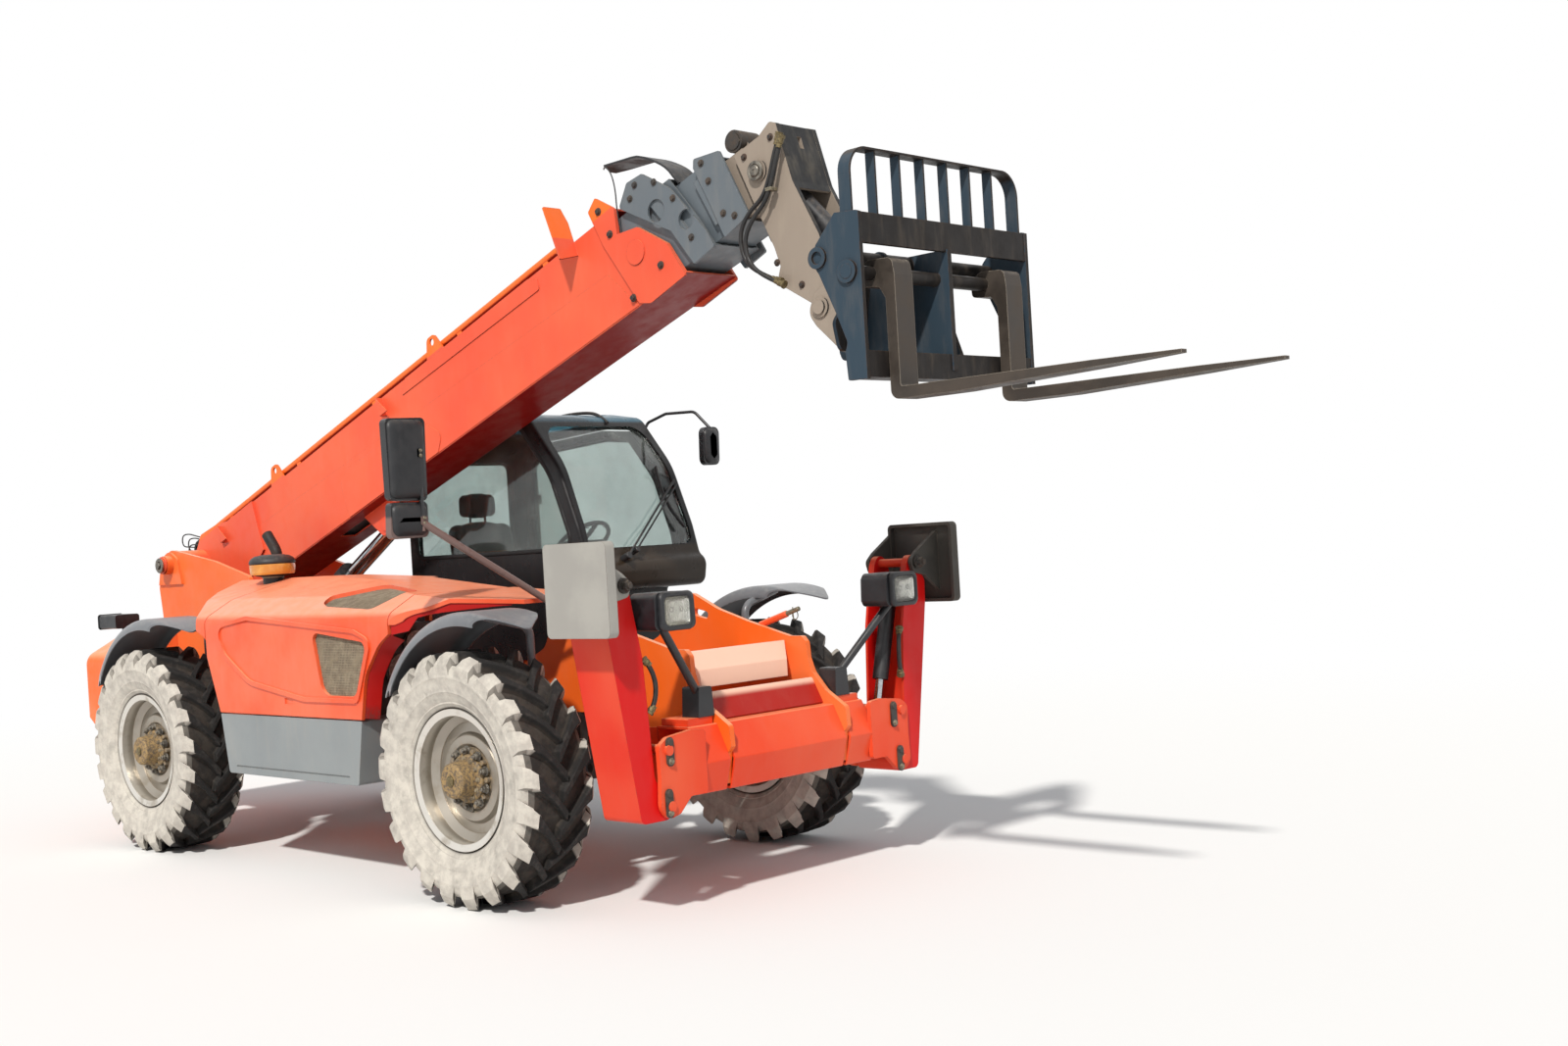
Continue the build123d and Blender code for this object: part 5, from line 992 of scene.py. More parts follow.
# %% Outlines and seal sections
def rounded(corners, steps=6):
    """Closed outline from (u, v, radius) corners, each rounded by an arc of a few points."""
    count = len(corners)
    line = []
    for i, (u, v, r) in enumerate(corners):
        here = Vector((u, v))
        back = (Vector(corners[i - 1][:2]) - here).normalized()
        on = (Vector(corners[(i + 1) % count][:2]) - here).normalized()
        half = math.acos(max(-1, min(1, back.dot(on)))) / 2
        reach = r / math.tan(half)
        centre = here + (back + on).normalized() * (r / math.sin(half))
        a, b = here + back * reach - centre, here + on * reach - centre
        sweep = a.angle_signed(b)
        for k in range(steps + 1):
            turn = -sweep * k / steps
            line.append(centre + Vector((a.x * math.cos(turn) - a.y * math.sin(turn),
                                         a.x * math.sin(turn) + a.y * math.cos(turn))))
    return line


def strip(outline, to_model, half_width, low, high):
    """Flat ring of a section half_width each side of an outline, from low to high off its plane."""
    count = len(outline)
    sections = []
    for i, p in enumerate(outline):
        tangent = (outline[(i + 1) % count] - outline[i - 1]).normalized()
        normal = Vector((-tangent.y, tangent.x))
        a, b = p + normal * half_width, p - normal * half_width
        soft = min(half_width, abs(high - low)) * 0.35
        side_a, side_b = p + normal * (half_width - soft), p - normal * (half_width - soft)
        sections.append([to_model(a, low), to_model(a, high - soft), to_model(side_a, high),
                         to_model(side_b, high), to_model(b, high - soft), to_model(b, low)])
    bm = loft(sections + [sections[0]], closed_ends=False)
    bmesh.ops.remove_doubles(bm, verts=bm.verts, dist=1e-5)
    bmesh.ops.recalc_face_normals(bm, faces=bm.faces)
    return bm


# %% Three windows' seals
CAB_RIGHT, CAB_LEFT, CAB_REAR = 0.252, 1.170, -0.640
SEAL_HALF_WIDTH = 0.013
right_line = rounded([(-.560, 1.672, .05), (-.560, 2.260, .09), (-.400, 2.376, .09), (.250, 2.408, .12),
                      (.490, 2.384, .08), (.722, 2.100, .4), (.862, 1.745, .06), (.846, 1.672, .04)])
door_line = rounded([(-.448, 1.240, .06), (-.448, 2.220, .06), (-.370, 2.300, .06), (.240, 2.334, .1),
                     (.455, 2.310, .06), (.655, 2.070, .38), (.780, 1.720, .25), (.800, 1.580, .05),
                     (.640, 1.520, .08), (.560, 1.240, .06)])
rear_line = rounded([(.332, 1.500, .06), (1.090, 1.500, .06), (1.090, 2.260, .06), (.332, 2.260, .06)])
seals = (("right_window_seal", right_line, lambda p, d: (p.x, CAB_RIGHT - d, p.y), -0.010, 0.005, "chassis"),
         ("door_window_seal", door_line, lambda p, d: (p.x, CAB_LEFT + d, p.y), -0.012, 0.004, "cab_door"),
         ("rear_window_seal", rear_line, lambda p, d: (CAB_REAR - d, p.x, p.y), -0.008, 0.004, "chassis"))
for name, line, to_model, low, high, body in seals:
    seal = strip(line, to_model, SEAL_HALF_WIDTH, low, high)
    hang(name, seal, seal_rubber, body, 50)
    print(name, "points", len(line))

# %% [markdown]
# ## Headlamps
#
# A work lamp is a rounded plastic box whose front opening has a chrome dish behind a fluted lens. The
# lens throws the light forward, so its small ribs stand on the inside. Here the bezel is a rounded ring
# standing on the CAD box, the dish is a shallow bowl with two bulbs, and a clear lens closes it.

# %% Rounded boxes that stand across the machine
def upright(x, y, z, way=1):
    """Function that takes an outline's (u, v) and a depth to a plane across the machine; way is its front."""
    return lambda p, depth: Vector((x + way * depth, y + p.x, z + p.y))


def stack(boxes, to_model, shut=True):
    """Skins rounded rectangles, each (half width, half height, corner radius, depth), in their order.

    shut closes the last one; the first stays open against the CAD part behind it."""
    bm = bmesh.new()
    rows = []
    for w, h, r, depth in boxes:
        outline = rounded([(-w, -h, r), (w, -h, r), (w, h, r), (-w, h, r)])
        rows.append([bm.verts.new(to_model(p, depth)) for p in outline])
    count = len(rows[0])
    for a, b in zip(rows, rows[1:]):
        for i in range(count):
            bm.faces.new((a[i], a[(i + 1) % count], b[(i + 1) % count], b[i]))
    if shut:
        bm.faces.new(rows[-1])
    bmesh.ops.recalc_face_normals(bm, faces=bm.faces)
    return bm


# %% Headlamps
LAMP_X, LAMP_Y, LAMP_Z = 2.7002, 0.8065, 1.376
FLUTES, FLUTE_STEP, FLUTE_HALF = 13, 0.0105, 0.0016
for side, hand in SIDES:
    middle = hand * LAMP_Y
    lamp_face = upright(LAMP_X, middle, LAMP_Z)
    bezel = stack([(0.104, 0.084, 0.030, -0.002), (0.106, 0.086, 0.032, 0.010), (0.100, 0.080, 0.030, 0.020),
                   (0.084, 0.068, 0.030, 0.022), (0.078, 0.063, 0.028, 0.016), (0.076, 0.061, 0.028, 0.004)],
                  lamp_face, shut=False)
    hang(f"lamp_bezel_{side}", bezel, mirror_plastic, "chassis", 50)
    bowl = stack([(0.077, 0.062, 0.028, 0.013), (0.066, 0.052, 0.024, 0.005), (0.040, 0.032, 0.016, 0.0015),
                  (0.010, 0.010, 0.004, 0.0008)], lamp_face)
    for u in (-0.030, 0.030):
        bulb = turned([(0, 0.0), (0.013, 0.001), (0.012, 0.006), (0.006, 0.010), (0, 0.011)], 16,
                      lamp_face(Vector((u, 0.006)), 0.001), (1, 0, 0), shut=False)
        bowl = joined(bowl, bulb)
    hang(f"lamp_dish_{side}", bowl, reflector, "chassis", 60)
    lens = stack([(0.079, 0.064, 0.029, 0.0145), (0.078, 0.063, 0.028, 0.0175), (0.060, 0.048, 0.022, 0.0192)],
                 lamp_face)
    flutes = [brick((LAMP_X + 0.0125, middle + u - FLUTE_HALF, LAMP_Z - 0.050),
                    (LAMP_X + 0.0150, middle + u + FLUTE_HALF, LAMP_Z + 0.050))
              for u in (k * FLUTE_STEP - 0.063 for k in range(FLUTES))]
    hang(f"lamp_lens_{side}", joined(lens, *flutes), lamp_glass, "chassis", 50)
    print("lamp", side, "flutes", len(flutes))

# %% [markdown]
# ## Mirrors
#
# The big driving mirror and the wide-angle one under it are shallow bowls with the glass set back
# behind a lip. A driver looks at them from behind and from the left, so the glass faces rearwards;
# from ahead only the moulded backs show, which is why they get a soft rim and a boss for the stem.

# %% Mirrors
LIP_R, BACK_R = 0.03, 0.036


def head_plane(y0, y1, z0, z1, x, way):
    """Placing function, half width and half height of a mirror head's front or rear face."""
    place = upright(x, (y0 + y1) / 2, (z0 + z1) / 2, way)
    return place, abs(y1 - y0) / 2, abs(z1 - z0) / 2


def mirror_face(name, *box):
    """Glass and lip on the rear face of a mirror head; box is y0, y1, z0, z1 and x."""
    place, w, h = head_plane(*box, -1)
    lip = stack([(w, h, LIP_R, -0.004), (w, h, LIP_R, 0.004), (w - 0.006, h - 0.006, LIP_R, 0.006),
                 (w - 0.010, h - 0.010, LIP_R * 0.8, 0.001)], place, shut=False)
    hang(name + "_lip", lip, trim_plastic, "chassis", 50)
    glass = stack([(w - 0.010, h - 0.010, LIP_R * 0.8, 0.0008), (w - 0.013, h - 0.013, LIP_R * 0.8, 0.0016)], place)
    hang(name + "_glass", glass, mirror_glass, "chassis", 50)


def mirror_back(name, *box):
    """Domed moulded back on the front face of a mirror head; box is y0, y1, z0, z1 and x."""
    place, w, h = head_plane(*box, 1)
    dome = ((0.0, -0.004), (0.0015, 0.004), (0.010, 0.013), (0.026, 0.019), (0.050, 0.022))
    hang(name, stack([(w - k, h - k, BACK_R, d) for k, d in dome], place), trim_plastic, "chassis", 60)


# %% Three mirror heads
mirror_face("driving_mirror", -1.393, -1.183, 1.962, 2.326, 1.420)
mirror_face("wide_mirror", -1.389, -1.187, 1.784, 1.928, 1.416)
mirror_face("left_mirror", 1.224, 1.340, 2.134, 2.332, 0.975)
mirror_back("driving_mirror_back", -1.395, -1.180, 1.956, 2.330, 1.464)
mirror_back("wide_mirror_back", -1.391, -1.186, 1.780, 1.932, 1.460)
mirror_back("left_mirror_back", 1.222, 1.342, 2.130, 2.336, 1.012)
stem_bolts = [(Vector((1.488, -1.222, z)), (1, 0, 0)) for z in (1.838, 1.862, 2.158, 2.182)]
bolts("mirror_bolts", stem_bolts, "chassis", "trim_black", across=0.012, height=0.007)

# %% [markdown]
# ## The driver's seat
#
# Foam upholstery swells between its seams: the middle of a panel is proud, its border is pulled in by
# the welt, and every corner is soft. A cloth simulation gives that for loose cushions, but moulded
# seat foam is firm, so each pad here is a closed slab with a welt line pulled in, subdivided once and
# dressed in woven cloth. The hard shell, the suspension bellows and the arm rests carry it.

# %% Seat
SEAT_Y = 0.711


def pad(name, width, corners, puff):
    """Upholstered pad: corners are its side view as (x, z, radius), width its size across."""
    profile = rounded(corners, 4)
    count = len(profile)
    middle = Vector((sum(p[0] for p in profile) / count, sum(p[1] for p in profile) / count))
    bm = bmesh.new()
    rows = []
    for share, inset in ((-0.5, 0.030), (-0.47, 0.008), (-0.36, 0.0), (-0.33, 0.006), (-0.30, 0.0), (0.0, -puff),
                         (0.30, 0.0), (0.33, 0.006), (0.36, 0.0), (0.47, 0.008), (0.5, 0.030)):
        ring = []
        for x, z in profile:
            out = (Vector((x, z)) - middle).normalized()
            p = Vector((x, z)) - out * inset
            ring.append(bm.verts.new((p.x, SEAT_Y + share * width, p.y)))
        rows.append(ring)
    for a, b in zip(rows, rows[1:]):
        for i in range(count):
            j = (i + 1) % count
            bm.faces.new((a[i], b[i], b[j], a[j]))
    bm.faces.new(rows[0])
    bm.faces.new(list(reversed(rows[-1])))
    bmesh.ops.recalc_face_normals(bm, faces=bm.faces)
    bmesh.ops.subdivide_edges(bm, edges=list(bm.edges), cuts=1, smooth=0.6, use_grid_fill=True)
    bmesh.ops.recalc_face_normals(bm, faces=bm.faces)
    made = hang(name, bm, cloth, "chassis", 60)
    return made


seat_cushion = pad("seat_cushion", 0.47, [(-0.44, 1.245, 0.04), (0.06, 1.270, 0.05), (0.125, 1.320, 0.04),
                                          (0.10, 1.405, 0.05), (-0.36, 1.375, 0.04), (-0.46, 1.36, 0.03)], 0.022)
seat_back = pad("seat_back", 0.45, [(-0.42, 1.365, 0.03), (-0.345, 1.40, 0.04), (-0.415, 1.62, 0.08),
                                    (-0.455, 1.87, 0.05), (-0.545, 1.865, 0.04), (-0.515, 1.55, 0.08)], 0.016)
seat_head = pad("seat_headrest", 0.25, [(-0.552, 1.915, 0.03), (-0.465, 1.918, 0.035), (-0.470, 2.058, 0.04),
                                        (-0.550, 2.052, 0.035)], 0.008)

# %% The seat's frame: shell, bellows, foot, head rest bars and arm rests
shell_parts = [brick((-0.46, SEAT_Y - 0.20, 1.195), (0.10, SEAT_Y + 0.20, 1.248), 0.012)]
for k in range(5):
    z = 1.005 + k * 0.038
    shell_parts.append(brick((-0.36, SEAT_Y - 0.150, z), (0.04, SEAT_Y + 0.150, z + 0.030), 0.012))
shell_parts.append(brick((-0.42, SEAT_Y - 0.17, 0.948), (0.12, SEAT_Y + 0.17, 1.004), 0.008))
for hand in (-1, 1):
    bar_y, arm_y = SEAT_Y + hand * 0.06, SEAT_Y + hand * 0.222
    shell_parts.append(rod((-0.51, bar_y, 1.83), (-0.512, bar_y, 1.94), 0.007, 12))
    shell_parts.append(brick((-0.43, arm_y - 0.014, 1.50), (-0.12, arm_y + 0.014, 1.545), 0.010))
frame_piece = hang("seat_frame", joined(*shell_parts), trim_plastic, "chassis", 40)
for piece in (seat_cushion, seat_back, seat_head, frame_piece):
    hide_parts("seat")
    print(piece.name, "faces", len(piece.data.polygons))

# %% [markdown]
# ## Cords: hydraulic hoses and a cable
#
# Three rules make it look real: it leaves its fitting straight for a few diameters, it never bends
# tighter than its wire braid lets it, and it hangs a little lower than the straight way between its
# ends. Each ends in a crimped sleeve and a hexagon.

# %% A hose's own line
def spline_point(points, t):
    """A point of the clamped quadratic B-spline with these control points, t from 0 to 1."""
    spans = len(points) - 2
    u = min(t * spans, spans - 1e-9)
    low = int(u)
    knots = [0, 0, 0] + list(range(1, spans)) + [spans] * 3
    pts = [Vector(points[low + j]) for j in range(3)]
    for r in (1, 2):
        for j in range(2, r - 1, -1):
            i = low + j
            den = knots[i + 3 - r] - knots[i]
            share = (u - knots[i]) / den if den else 0.0
            pts[j] = pts[j - 1].lerp(pts[j], share)
    return pts[2]


def hose(name, points, radius, material, body, slot, far_end="object", stiffness="stiff", lay="loose", **rest):
    """A free hose along the smooth line of its control points."""
    line = bpy.data.curves.new(name, "CURVE")
    line.dimensions = "3D"
    line.bevel_depth = radius
    line.bevel_resolution = 3
    line.resolution_u = 10
    line.use_fill_caps = True
    spline = line.splines.new("NURBS")
    spline.points.add(len(points) - 1)
    for spot, p in zip(spline.points, points):
        spot.co = (*p, 1.0)
    spline.order_u = 3
    spline.use_endpoint_u = True
    line.materials.append(material)
    made = bpy.data.objects.new(name, line)
    bpy.context.scene.collection.objects.link(made)
    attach(made, body)


def fitting(p, way, radius, long=0.05):
    """Crimped sleeve and hexagon where a hose meets its pipe; way points out of the machine part."""
    way = Vector(way).normalized()
    p = Vector(p)
    sleeve = turned([(0, 0), (radius * 1.55, 0), (radius * 1.55, long * 0.62), (radius * 1.25, long * 0.70),
                     (radius * 1.25, long), (0, long)], 16, p, way, shut=False)
    swing = Vector((0, 0, 1)).rotation_difference(way).to_matrix().to_4x4()
    nut = hex_bolt(radius * 1.9 * 1.7, long * 0.3, 1.0)
    return joined(sleeve, placed(nut, p - way * 0.002, swing))


def end_fittings(points, radius, long, back=0.0):
    """Both ends' fittings of a hose, drawn back along its line by back."""
    ends = []
    for end, following in ((0, 1), (-1, -2)):
        p, way = Vector(points[end]), Vector(points[following]) - Vector(points[end])
        ends.append(fitting(p - way.normalized() * back, way, radius, long))
    return joined(*ends)


# %% Helpers for pipes and for finding a surface
STEPS_PER_SPAN = 5
AHEAD, BEHIND, ABOVE = 3.2, -3.2, 3.0    # where a look starts, clear of the parts that it looks for


def pipe(points, radius, sides=12):
    """Rigid tube along the smooth line of its control points; returns a bmesh."""
    steps = max(2, (len(points) - 2) * STEPS_PER_SPAN)
    line = [spline_point(points, i / steps) for i in range(steps + 1)]
    across = (line[1] - line[0]).orthogonal().normalized()
    rows = []
    for i, p in enumerate(line):
        way = (line[min(i + 1, len(line) - 1)] - line[max(i - 1, 0)]).normalized()
        across = (across - way * across.dot(way)).normalized()
        side_way = way.cross(across)
        rows.append([p + (across * math.cos(a) + side_way * math.sin(a)) * radius
                     for a in (2 * math.pi * k / sides for k in range(sides))])
    return loft(rows)


def touch(name, origin, way):
    """Where a straight look from origin along way meets a CAD node, or None."""
    hit, place, _, _ = nodes[name].ray_cast(Vector(origin), Vector(way).normalized())
    return place if hit else None


# %% Hoses on the head
HEAD_HOSE_R = 0.0105
HEAD_HOSE_OUT = [0.168, 0.176, 0.178, 0.180, 0.186, 0.190, 0.188, 0.180, 0.172]  # distance from the middle plane
head_lines = [
    [(2.902, 3.464), (2.880, 3.405), (2.846, 3.300), (2.800, 3.215), (2.715, 3.165), (2.655, 3.080), (2.668, 2.960),
     (2.740, 2.885), (2.852, 2.832)],
    [(2.925, 3.445), (2.906, 3.385), (2.872, 3.280), (2.826, 3.190), (2.756, 3.135), (2.696, 3.050), (2.706, 2.945),
     (2.770, 2.870), (2.880, 2.814)]]
for k, line in enumerate(head_lines):
    points = [Vector((x, -d - 0.014 * k, z)) for (x, z), d in zip(line, HEAD_HOSE_OUT)]
    hose(f"head_hose_{k + 1}", points, HEAD_HOSE_R, hose_rubber, "head", "cylinder_black", with_pieces=(),
         far_end="object")
    hang(f"head_hose_fittings_{k + 1}", joined(
        fitting(points[0] + Vector((0.010, 0, 0.026)), points[1] - points[0], HEAD_HOSE_R, 0.055),
        fitting(points[-1] + Vector((0.024, 0, -0.010)), points[-2] - points[-1], HEAD_HOSE_R, 0.055)),
        brass, "head")
clamp = brick((2.838, -0.206, 3.236), (2.874, -0.160, 3.252), 0.002)
hang("head_hose_clamp", clamp, zinc, "head")

# %% [markdown]
# ## Hose guide over section 2
#
# The hoses that feed the head turn over a moulded arch where the sections slide into each other. It is
# a strip bent along a smooth line, narrow at its first end and cut flat on top, so that it stays inside
# the machine's height. A thin cable climbs beside it, and the extension cylinder's pin has a round cap.

# %% Hose guide, its cable and the pin's cap
ARCH_STEPS, ARCH_TOP, ARCH_Y = 18, 3.584, -0.07


def ribbon(line, half_widths, thick, centre_y):
    """Bent strip along (x, z) points: width across the machine, thickness square to it."""
    rows = []
    for i, (p, w) in enumerate(zip(line, half_widths)):
        a, b = Vector(line[max(i - 1, 0)]), Vector(line[min(i + 1, len(line) - 1)])
        way = (b - a).normalized()
        up = Vector((-way.y, way.x)) * thick / 2
        rows.append([(p[0] + up.x, centre_y - w, p[1] + up.y), (p[0] + up.x, centre_y + w, p[1] + up.y),
                     (p[0] - up.x, centre_y + w, p[1] - up.y), (p[0] - up.x, centre_y - w, p[1] - up.y)])
    return loft(rows)


arch_line = [(1.716, 0, 3.566), (1.76, 0, 3.606), (1.85, 0, 3.605), (1.98, 0, 3.585), (2.10, 0, 3.535),
             (2.20, 0, 3.47), (2.24, 0, 3.40)]
arch = [spline_point(arch_line, i / ARCH_STEPS) for i in range(ARCH_STEPS + 1)]
arch = [(p.x, min(p.z, ARCH_TOP)) for p in arch]
guide = ribbon(arch, [0.020] + [0.085] * (ARCH_STEPS - 1) + [0.07], 0.010, ARCH_Y)
hang("hose_guide", guide, trim_plastic, "section_2", 50)
cable_line = [(1.868, -0.194, 3.26), (1.862, -0.199, 3.33), (1.860, -0.199, 3.44), (1.835, -0.199, 3.53),
              (1.775, -0.185, 3.575), (1.735, -0.150, 3.568)]
hose("hose_guide_cable", cable_line, 0.0035, hose_rubber, "section_2", "cylinder_black", stiffness="medium",
     far_end="bare")
cap_at = on_boom(5263, 84)
cap_ring = turned([(0.040, -0.070), (0.054, -0.070), (0.054, 0.070), (0.040, 0.070), (0.040, 0.074), (0, 0.074),
                   (0, -0.074), (0.040, -0.074)], 32, cap_at, (0, 1, 0), shut=False)
hang("extension_pin_cap", cap_ring, cast_iron, "head")

# %% [markdown]
# ## Pipe and hoses at the boom's tail
#
# The conduit on the boom's top plate ends in an elbow that bends down behind it. Below it three thin
# hoses leave the boom's end wall, turn in a loop behind the pivot and go back in, with the slack that
# they need when the boom lifts. Their ends are found by looking for the wall along the machine.

# %% Pipe elbow and tail hoses
TAIL_HOSE_R, LOOP_R = 0.0045, 0.0455
tail_top = on_boom(60, 184, -135)
elbow = [tail_top, tail_top - ALONG * 0.10, tail_top - ALONG * 0.17 + SQUARE * 0.004,
         tail_top - ALONG * 0.215 - SQUARE * 0.05, tail_top - ALONG * 0.205 - SQUARE * 0.12]
hang("conduit_elbow", pipe(elbow, 0.0135), hose_rubber, "boom")
loops = []
for y, x, z, (start_z, end_z) in ((-0.13, -2.728, 1.898, (1.892, 1.830)), (-0.10, -2.700, 1.868, (1.862, 1.802)),
                                  (-0.155, -2.600, 1.822, (1.832, 1.775))):
    bend = [(x + LOOP_R * math.cos(math.radians(a)), y, z + LOOP_R * math.sin(math.radians(a)))
            for a in (112.5, 157.5, 202.5, 247.5)]
    loops.append([(-2.47, y, start_z), (x + 0.130, y, z + 0.030), (x + 0.060, y, z + 0.044)] + bend
                 + [(x + 0.050, y, z - 0.046), (-2.48, y, end_z)])
for line in loops:
    for end in (0, -1):
        _, y, z = line[end]
        wall = touch("boom_base", (BEHIND, y, z), (1, 0, 0))
        if wall is not None and wall.x < -2.2:
            line[end] = (wall.x - 0.012, y, z)
for k, line in enumerate(loops):
    hose(f"tail_hose_{k + 1}", line, TAIL_HOSE_R, hose_rubber, "boom", "cylinder_black", stiffness="stiff")
    hang(f"tail_hose_fittings_{k + 1}", end_fittings(line, 0.0060, 0.036, 0.02), brass, "boom")

# %% [markdown]
# ## Wiper and roof bracket
#
# The windscreen is swept by a blade on a pair of parallel arms which lie across it when parked. A
# bracket on the roof carries the lead of a beacon, which lies on the roof and its window. All of it is
# thin, so it reads as line work: pipes along a few points each, and short rods where they turn.

# %% Wiper
arm_a = pipe([(1.045, 0.516, 1.612), (0.985, 0.72, 1.765), (0.872, 1.095, 2.045)], 0.0065, 10)
arm_b = pipe([(1.030, 0.600, 1.645), (0.975, 0.78, 1.775), (0.880, 1.105, 2.020)], 0.0055, 10)
blade_line = [(0.800, 1.020, 2.130), (0.836, 0.995, 2.060), (0.925, 0.990, 1.870), (0.978, 1.052, 1.765)]
blade = pipe(blade_line, 0.008, 8)
lip = pipe([tuple(Vector(p) + Vector((-0.010, 0, -0.004))) for p in blade_line], 0.0045, 6)
boss = rod((1.000, 0.516, 1.600), (1.062, 0.516, 1.622), 0.021, 20, 0.004)
boss_b = rod((0.995, 0.600, 1.632), (1.045, 0.600, 1.652), 0.015, 18, 0.003)
link = rod((0.876, 1.100, 2.033), (0.872, 1.012, 1.985), 0.006, 10)
hang("windscreen_wiper", joined(arm_a, arm_b, blade, lip, boss, boss_b, link), trim_plastic, "chassis")

# %% Roof bracket and its lead
top = touch("cab_shell", (0.70, 0.90, ABOVE), (0, 0, -1)).z
plate_parts = [brick((0.56, 0.80, top + 0.001), (0.80, 1.00, top + 0.012), 0.003),
               brick((0.60, 0.86, top + 0.010), (0.78, 0.94, top + 0.045), 0.006),
               turned([(0, 0), (0.040, 0), (0.040, 0.018), (0.030, 0.030), (0, 0.034)], 24,
                      (0.715, 0.90, top + 0.044), (0, 0, 1), shut=False)]
hang("roof_bracket", joined(*plate_parts), cowl_plastic, "chassis")
lead = []
for x in (0.60, 0.50, 0.38, 0.24, 0.10, -0.04):
    y = 0.86 + 0.02 * math.sin(x * 18)
    spots = [touch(name, (x, y, ABOVE), (0, 0, -1)) for name in ("cab_shell", "cab_glass")]
    lead.append((x, y, max(spot.z for spot in spots if spot is not None) + 0.016))
hose("roof_lead", lead, 0.010, hose_rubber, "chassis", "cylinder_black", stiffness="medium", lay="loose")

# %% [markdown]
# ## Pins, washers and retainers
#
# Every pivot has a greased pin whose end is kept by something bolted on: a thick washer, a hexagon or
# a small flag plate. They are dull steel against the enamel, and they tell where the machine moves.

# %% Pins and retainers
def flag(origin, right, down, out, length, width, thick):
    """Retainer plate hanging from a pin: a flat strip with round ends."""
    origin, right, down, out = Vector(origin), Vector(right), Vector(down), Vector(out)
    steps, r = 8, width / 2
    turns = [math.pi * i / steps for i in range(steps + 1)]
    line = [(-r * math.cos(a), -r * math.sin(a)) for a in turns]
    line += [(r * math.cos(a), length + r * math.sin(a)) for a in turns]
    base = [origin + right * u + down * v for u, v in line]
    return loft([base, [p + out * thick for p in base]])


ear_flags = []
ear_bolts = []
for y, z in ((-0.824, 0.800), (-0.845, 0.575), (0.765, 0.792), (0.800, 0.568)):
    spot = touch("stabiliser_beam", (AHEAD, y, z), (-1, 0, 0))
    low = touch("stabiliser_beam", (AHEAD, y, z - 0.09), (-1, 0, 0))
    if spot is not None:
        x = max(spot.x, low.x if low is not None else spot.x) + 0.0005
        ear_flags.append(flag((x, y, z), (0, 1, 0), (0, 0, -1), (1, 0, 0), 0.085, 0.044, 0.009))
        ear_flags.append(rod((x, y, z), (x + 0.016, y, z), 0.017, 20, 0.003))
        ear_bolts.append((Vector((x + 0.009, y, z - 0.085)), (1, 0, 0)))
hang("pin_flags", joined(*ear_flags), cast_iron, "chassis")
bolts("pin_flag_bolts", ear_bolts, "chassis", "pad_grey", across=0.020, height=0.012)

# %% Nuts on the pads' pins
LEG_PIN_Y, LEG_PIN_Z = 1.040, 1.500
for side, hand in SIDES:
    spot = touch(f"stabiliser_leg_{side}", (AHEAD, hand * LEG_PIN_Y, LEG_PIN_Z), (-1, 0, 0))
    seat_at = Vector((spot.x - 0.001, hand * LEG_PIN_Y, LEG_PIN_Z))
    disc = turned([(0, 0), (0.034, 0), (0.034, 0.010), (0, 0.010)], 28, seat_at, (1, 0, 0), shut=False)
    nut = placed(hex_bolt(0.044, 0.026, 1.0, 0.012), seat_at + Vector((0.009, 0, 0)),
                 Matrix.Rotation(math.radians(90), 4, "Y"))
    hang(f"pad_pin_nut_{side}", joined(disc, nut), cast_iron, f"leg_{side}")
    print("pad pin nut", side, [round(v, 3) for v in seat_at])


# %% Pin ends of the tilting head and the boom
def washer(place, way, inner, outer, thick):
    """Flat ring with chamfered edges."""
    c = min(0.003, thick / 3)
    profile = [(inner, 0), (outer, 0), (outer, thick - c), (outer - c, thick), (inner + c, thick), (inner, thick - c)]
    return turned(profile, 36, place, way)


TILT_PIN = Vector((2.749, 0, 3.352))
for side, hand in SIDES[::-1]:
    cheek = touch("boom_head", (TILT_PIN.x, hand * 1.0, TILT_PIN.z), (0, -hand, 0))
    face = Vector((TILT_PIN.x, cheek.y, TILT_PIN.z))
    ring = washer(face, (0, hand, 0), 0.030, 0.046, 0.006)
    hub = turned([(0, 0), (0.026, 0), (0.026, 0.008), (0.021, 0.012), (0.008, 0.012), (0.006, 0.007), (0, 0.007)],
                 28, face, (0, hand, 0), shut=False)
    hang(f"tilt_pin_end_{side}", joined(ring, hub), pin_steel, "head")
    print("tilt pin end", side, [round(v, 3) for v in face])
for side, hand in SIDES[::-1]:
    cheek = touch("boom_base", (PIVOT.x, hand * 1.0, PIVOT.z), (0, -hand, 0))
    face = Vector((PIVOT.x, cheek.y, PIVOT.z))
    ring = washer(face, (0, hand, 0), 0.026, 0.050, 0.010)
    nut = placed(hex_bolt(0.040, 0.020, 1.0), face, Matrix.Rotation(math.radians(-90 * hand), 4, "X"))
    hang(f"boom_pivot_end_{side}", joined(ring, nut), pin_steel, "chassis")
    print("boom pivot end", side, [round(v, 3) for v in face])

# %% [markdown]
# ## Pre-cleaner bowl
#
# The cyclone cap on the air intake is two mouldings: a black lid with a soft rim, and a clear amber
# bowl under it, cloudy with the dust that it has spun out. A driver checks its level through the wall.
# The bowl is a turned sleeve just outside the plain CAD drum, the lid a turned cap with a bead.

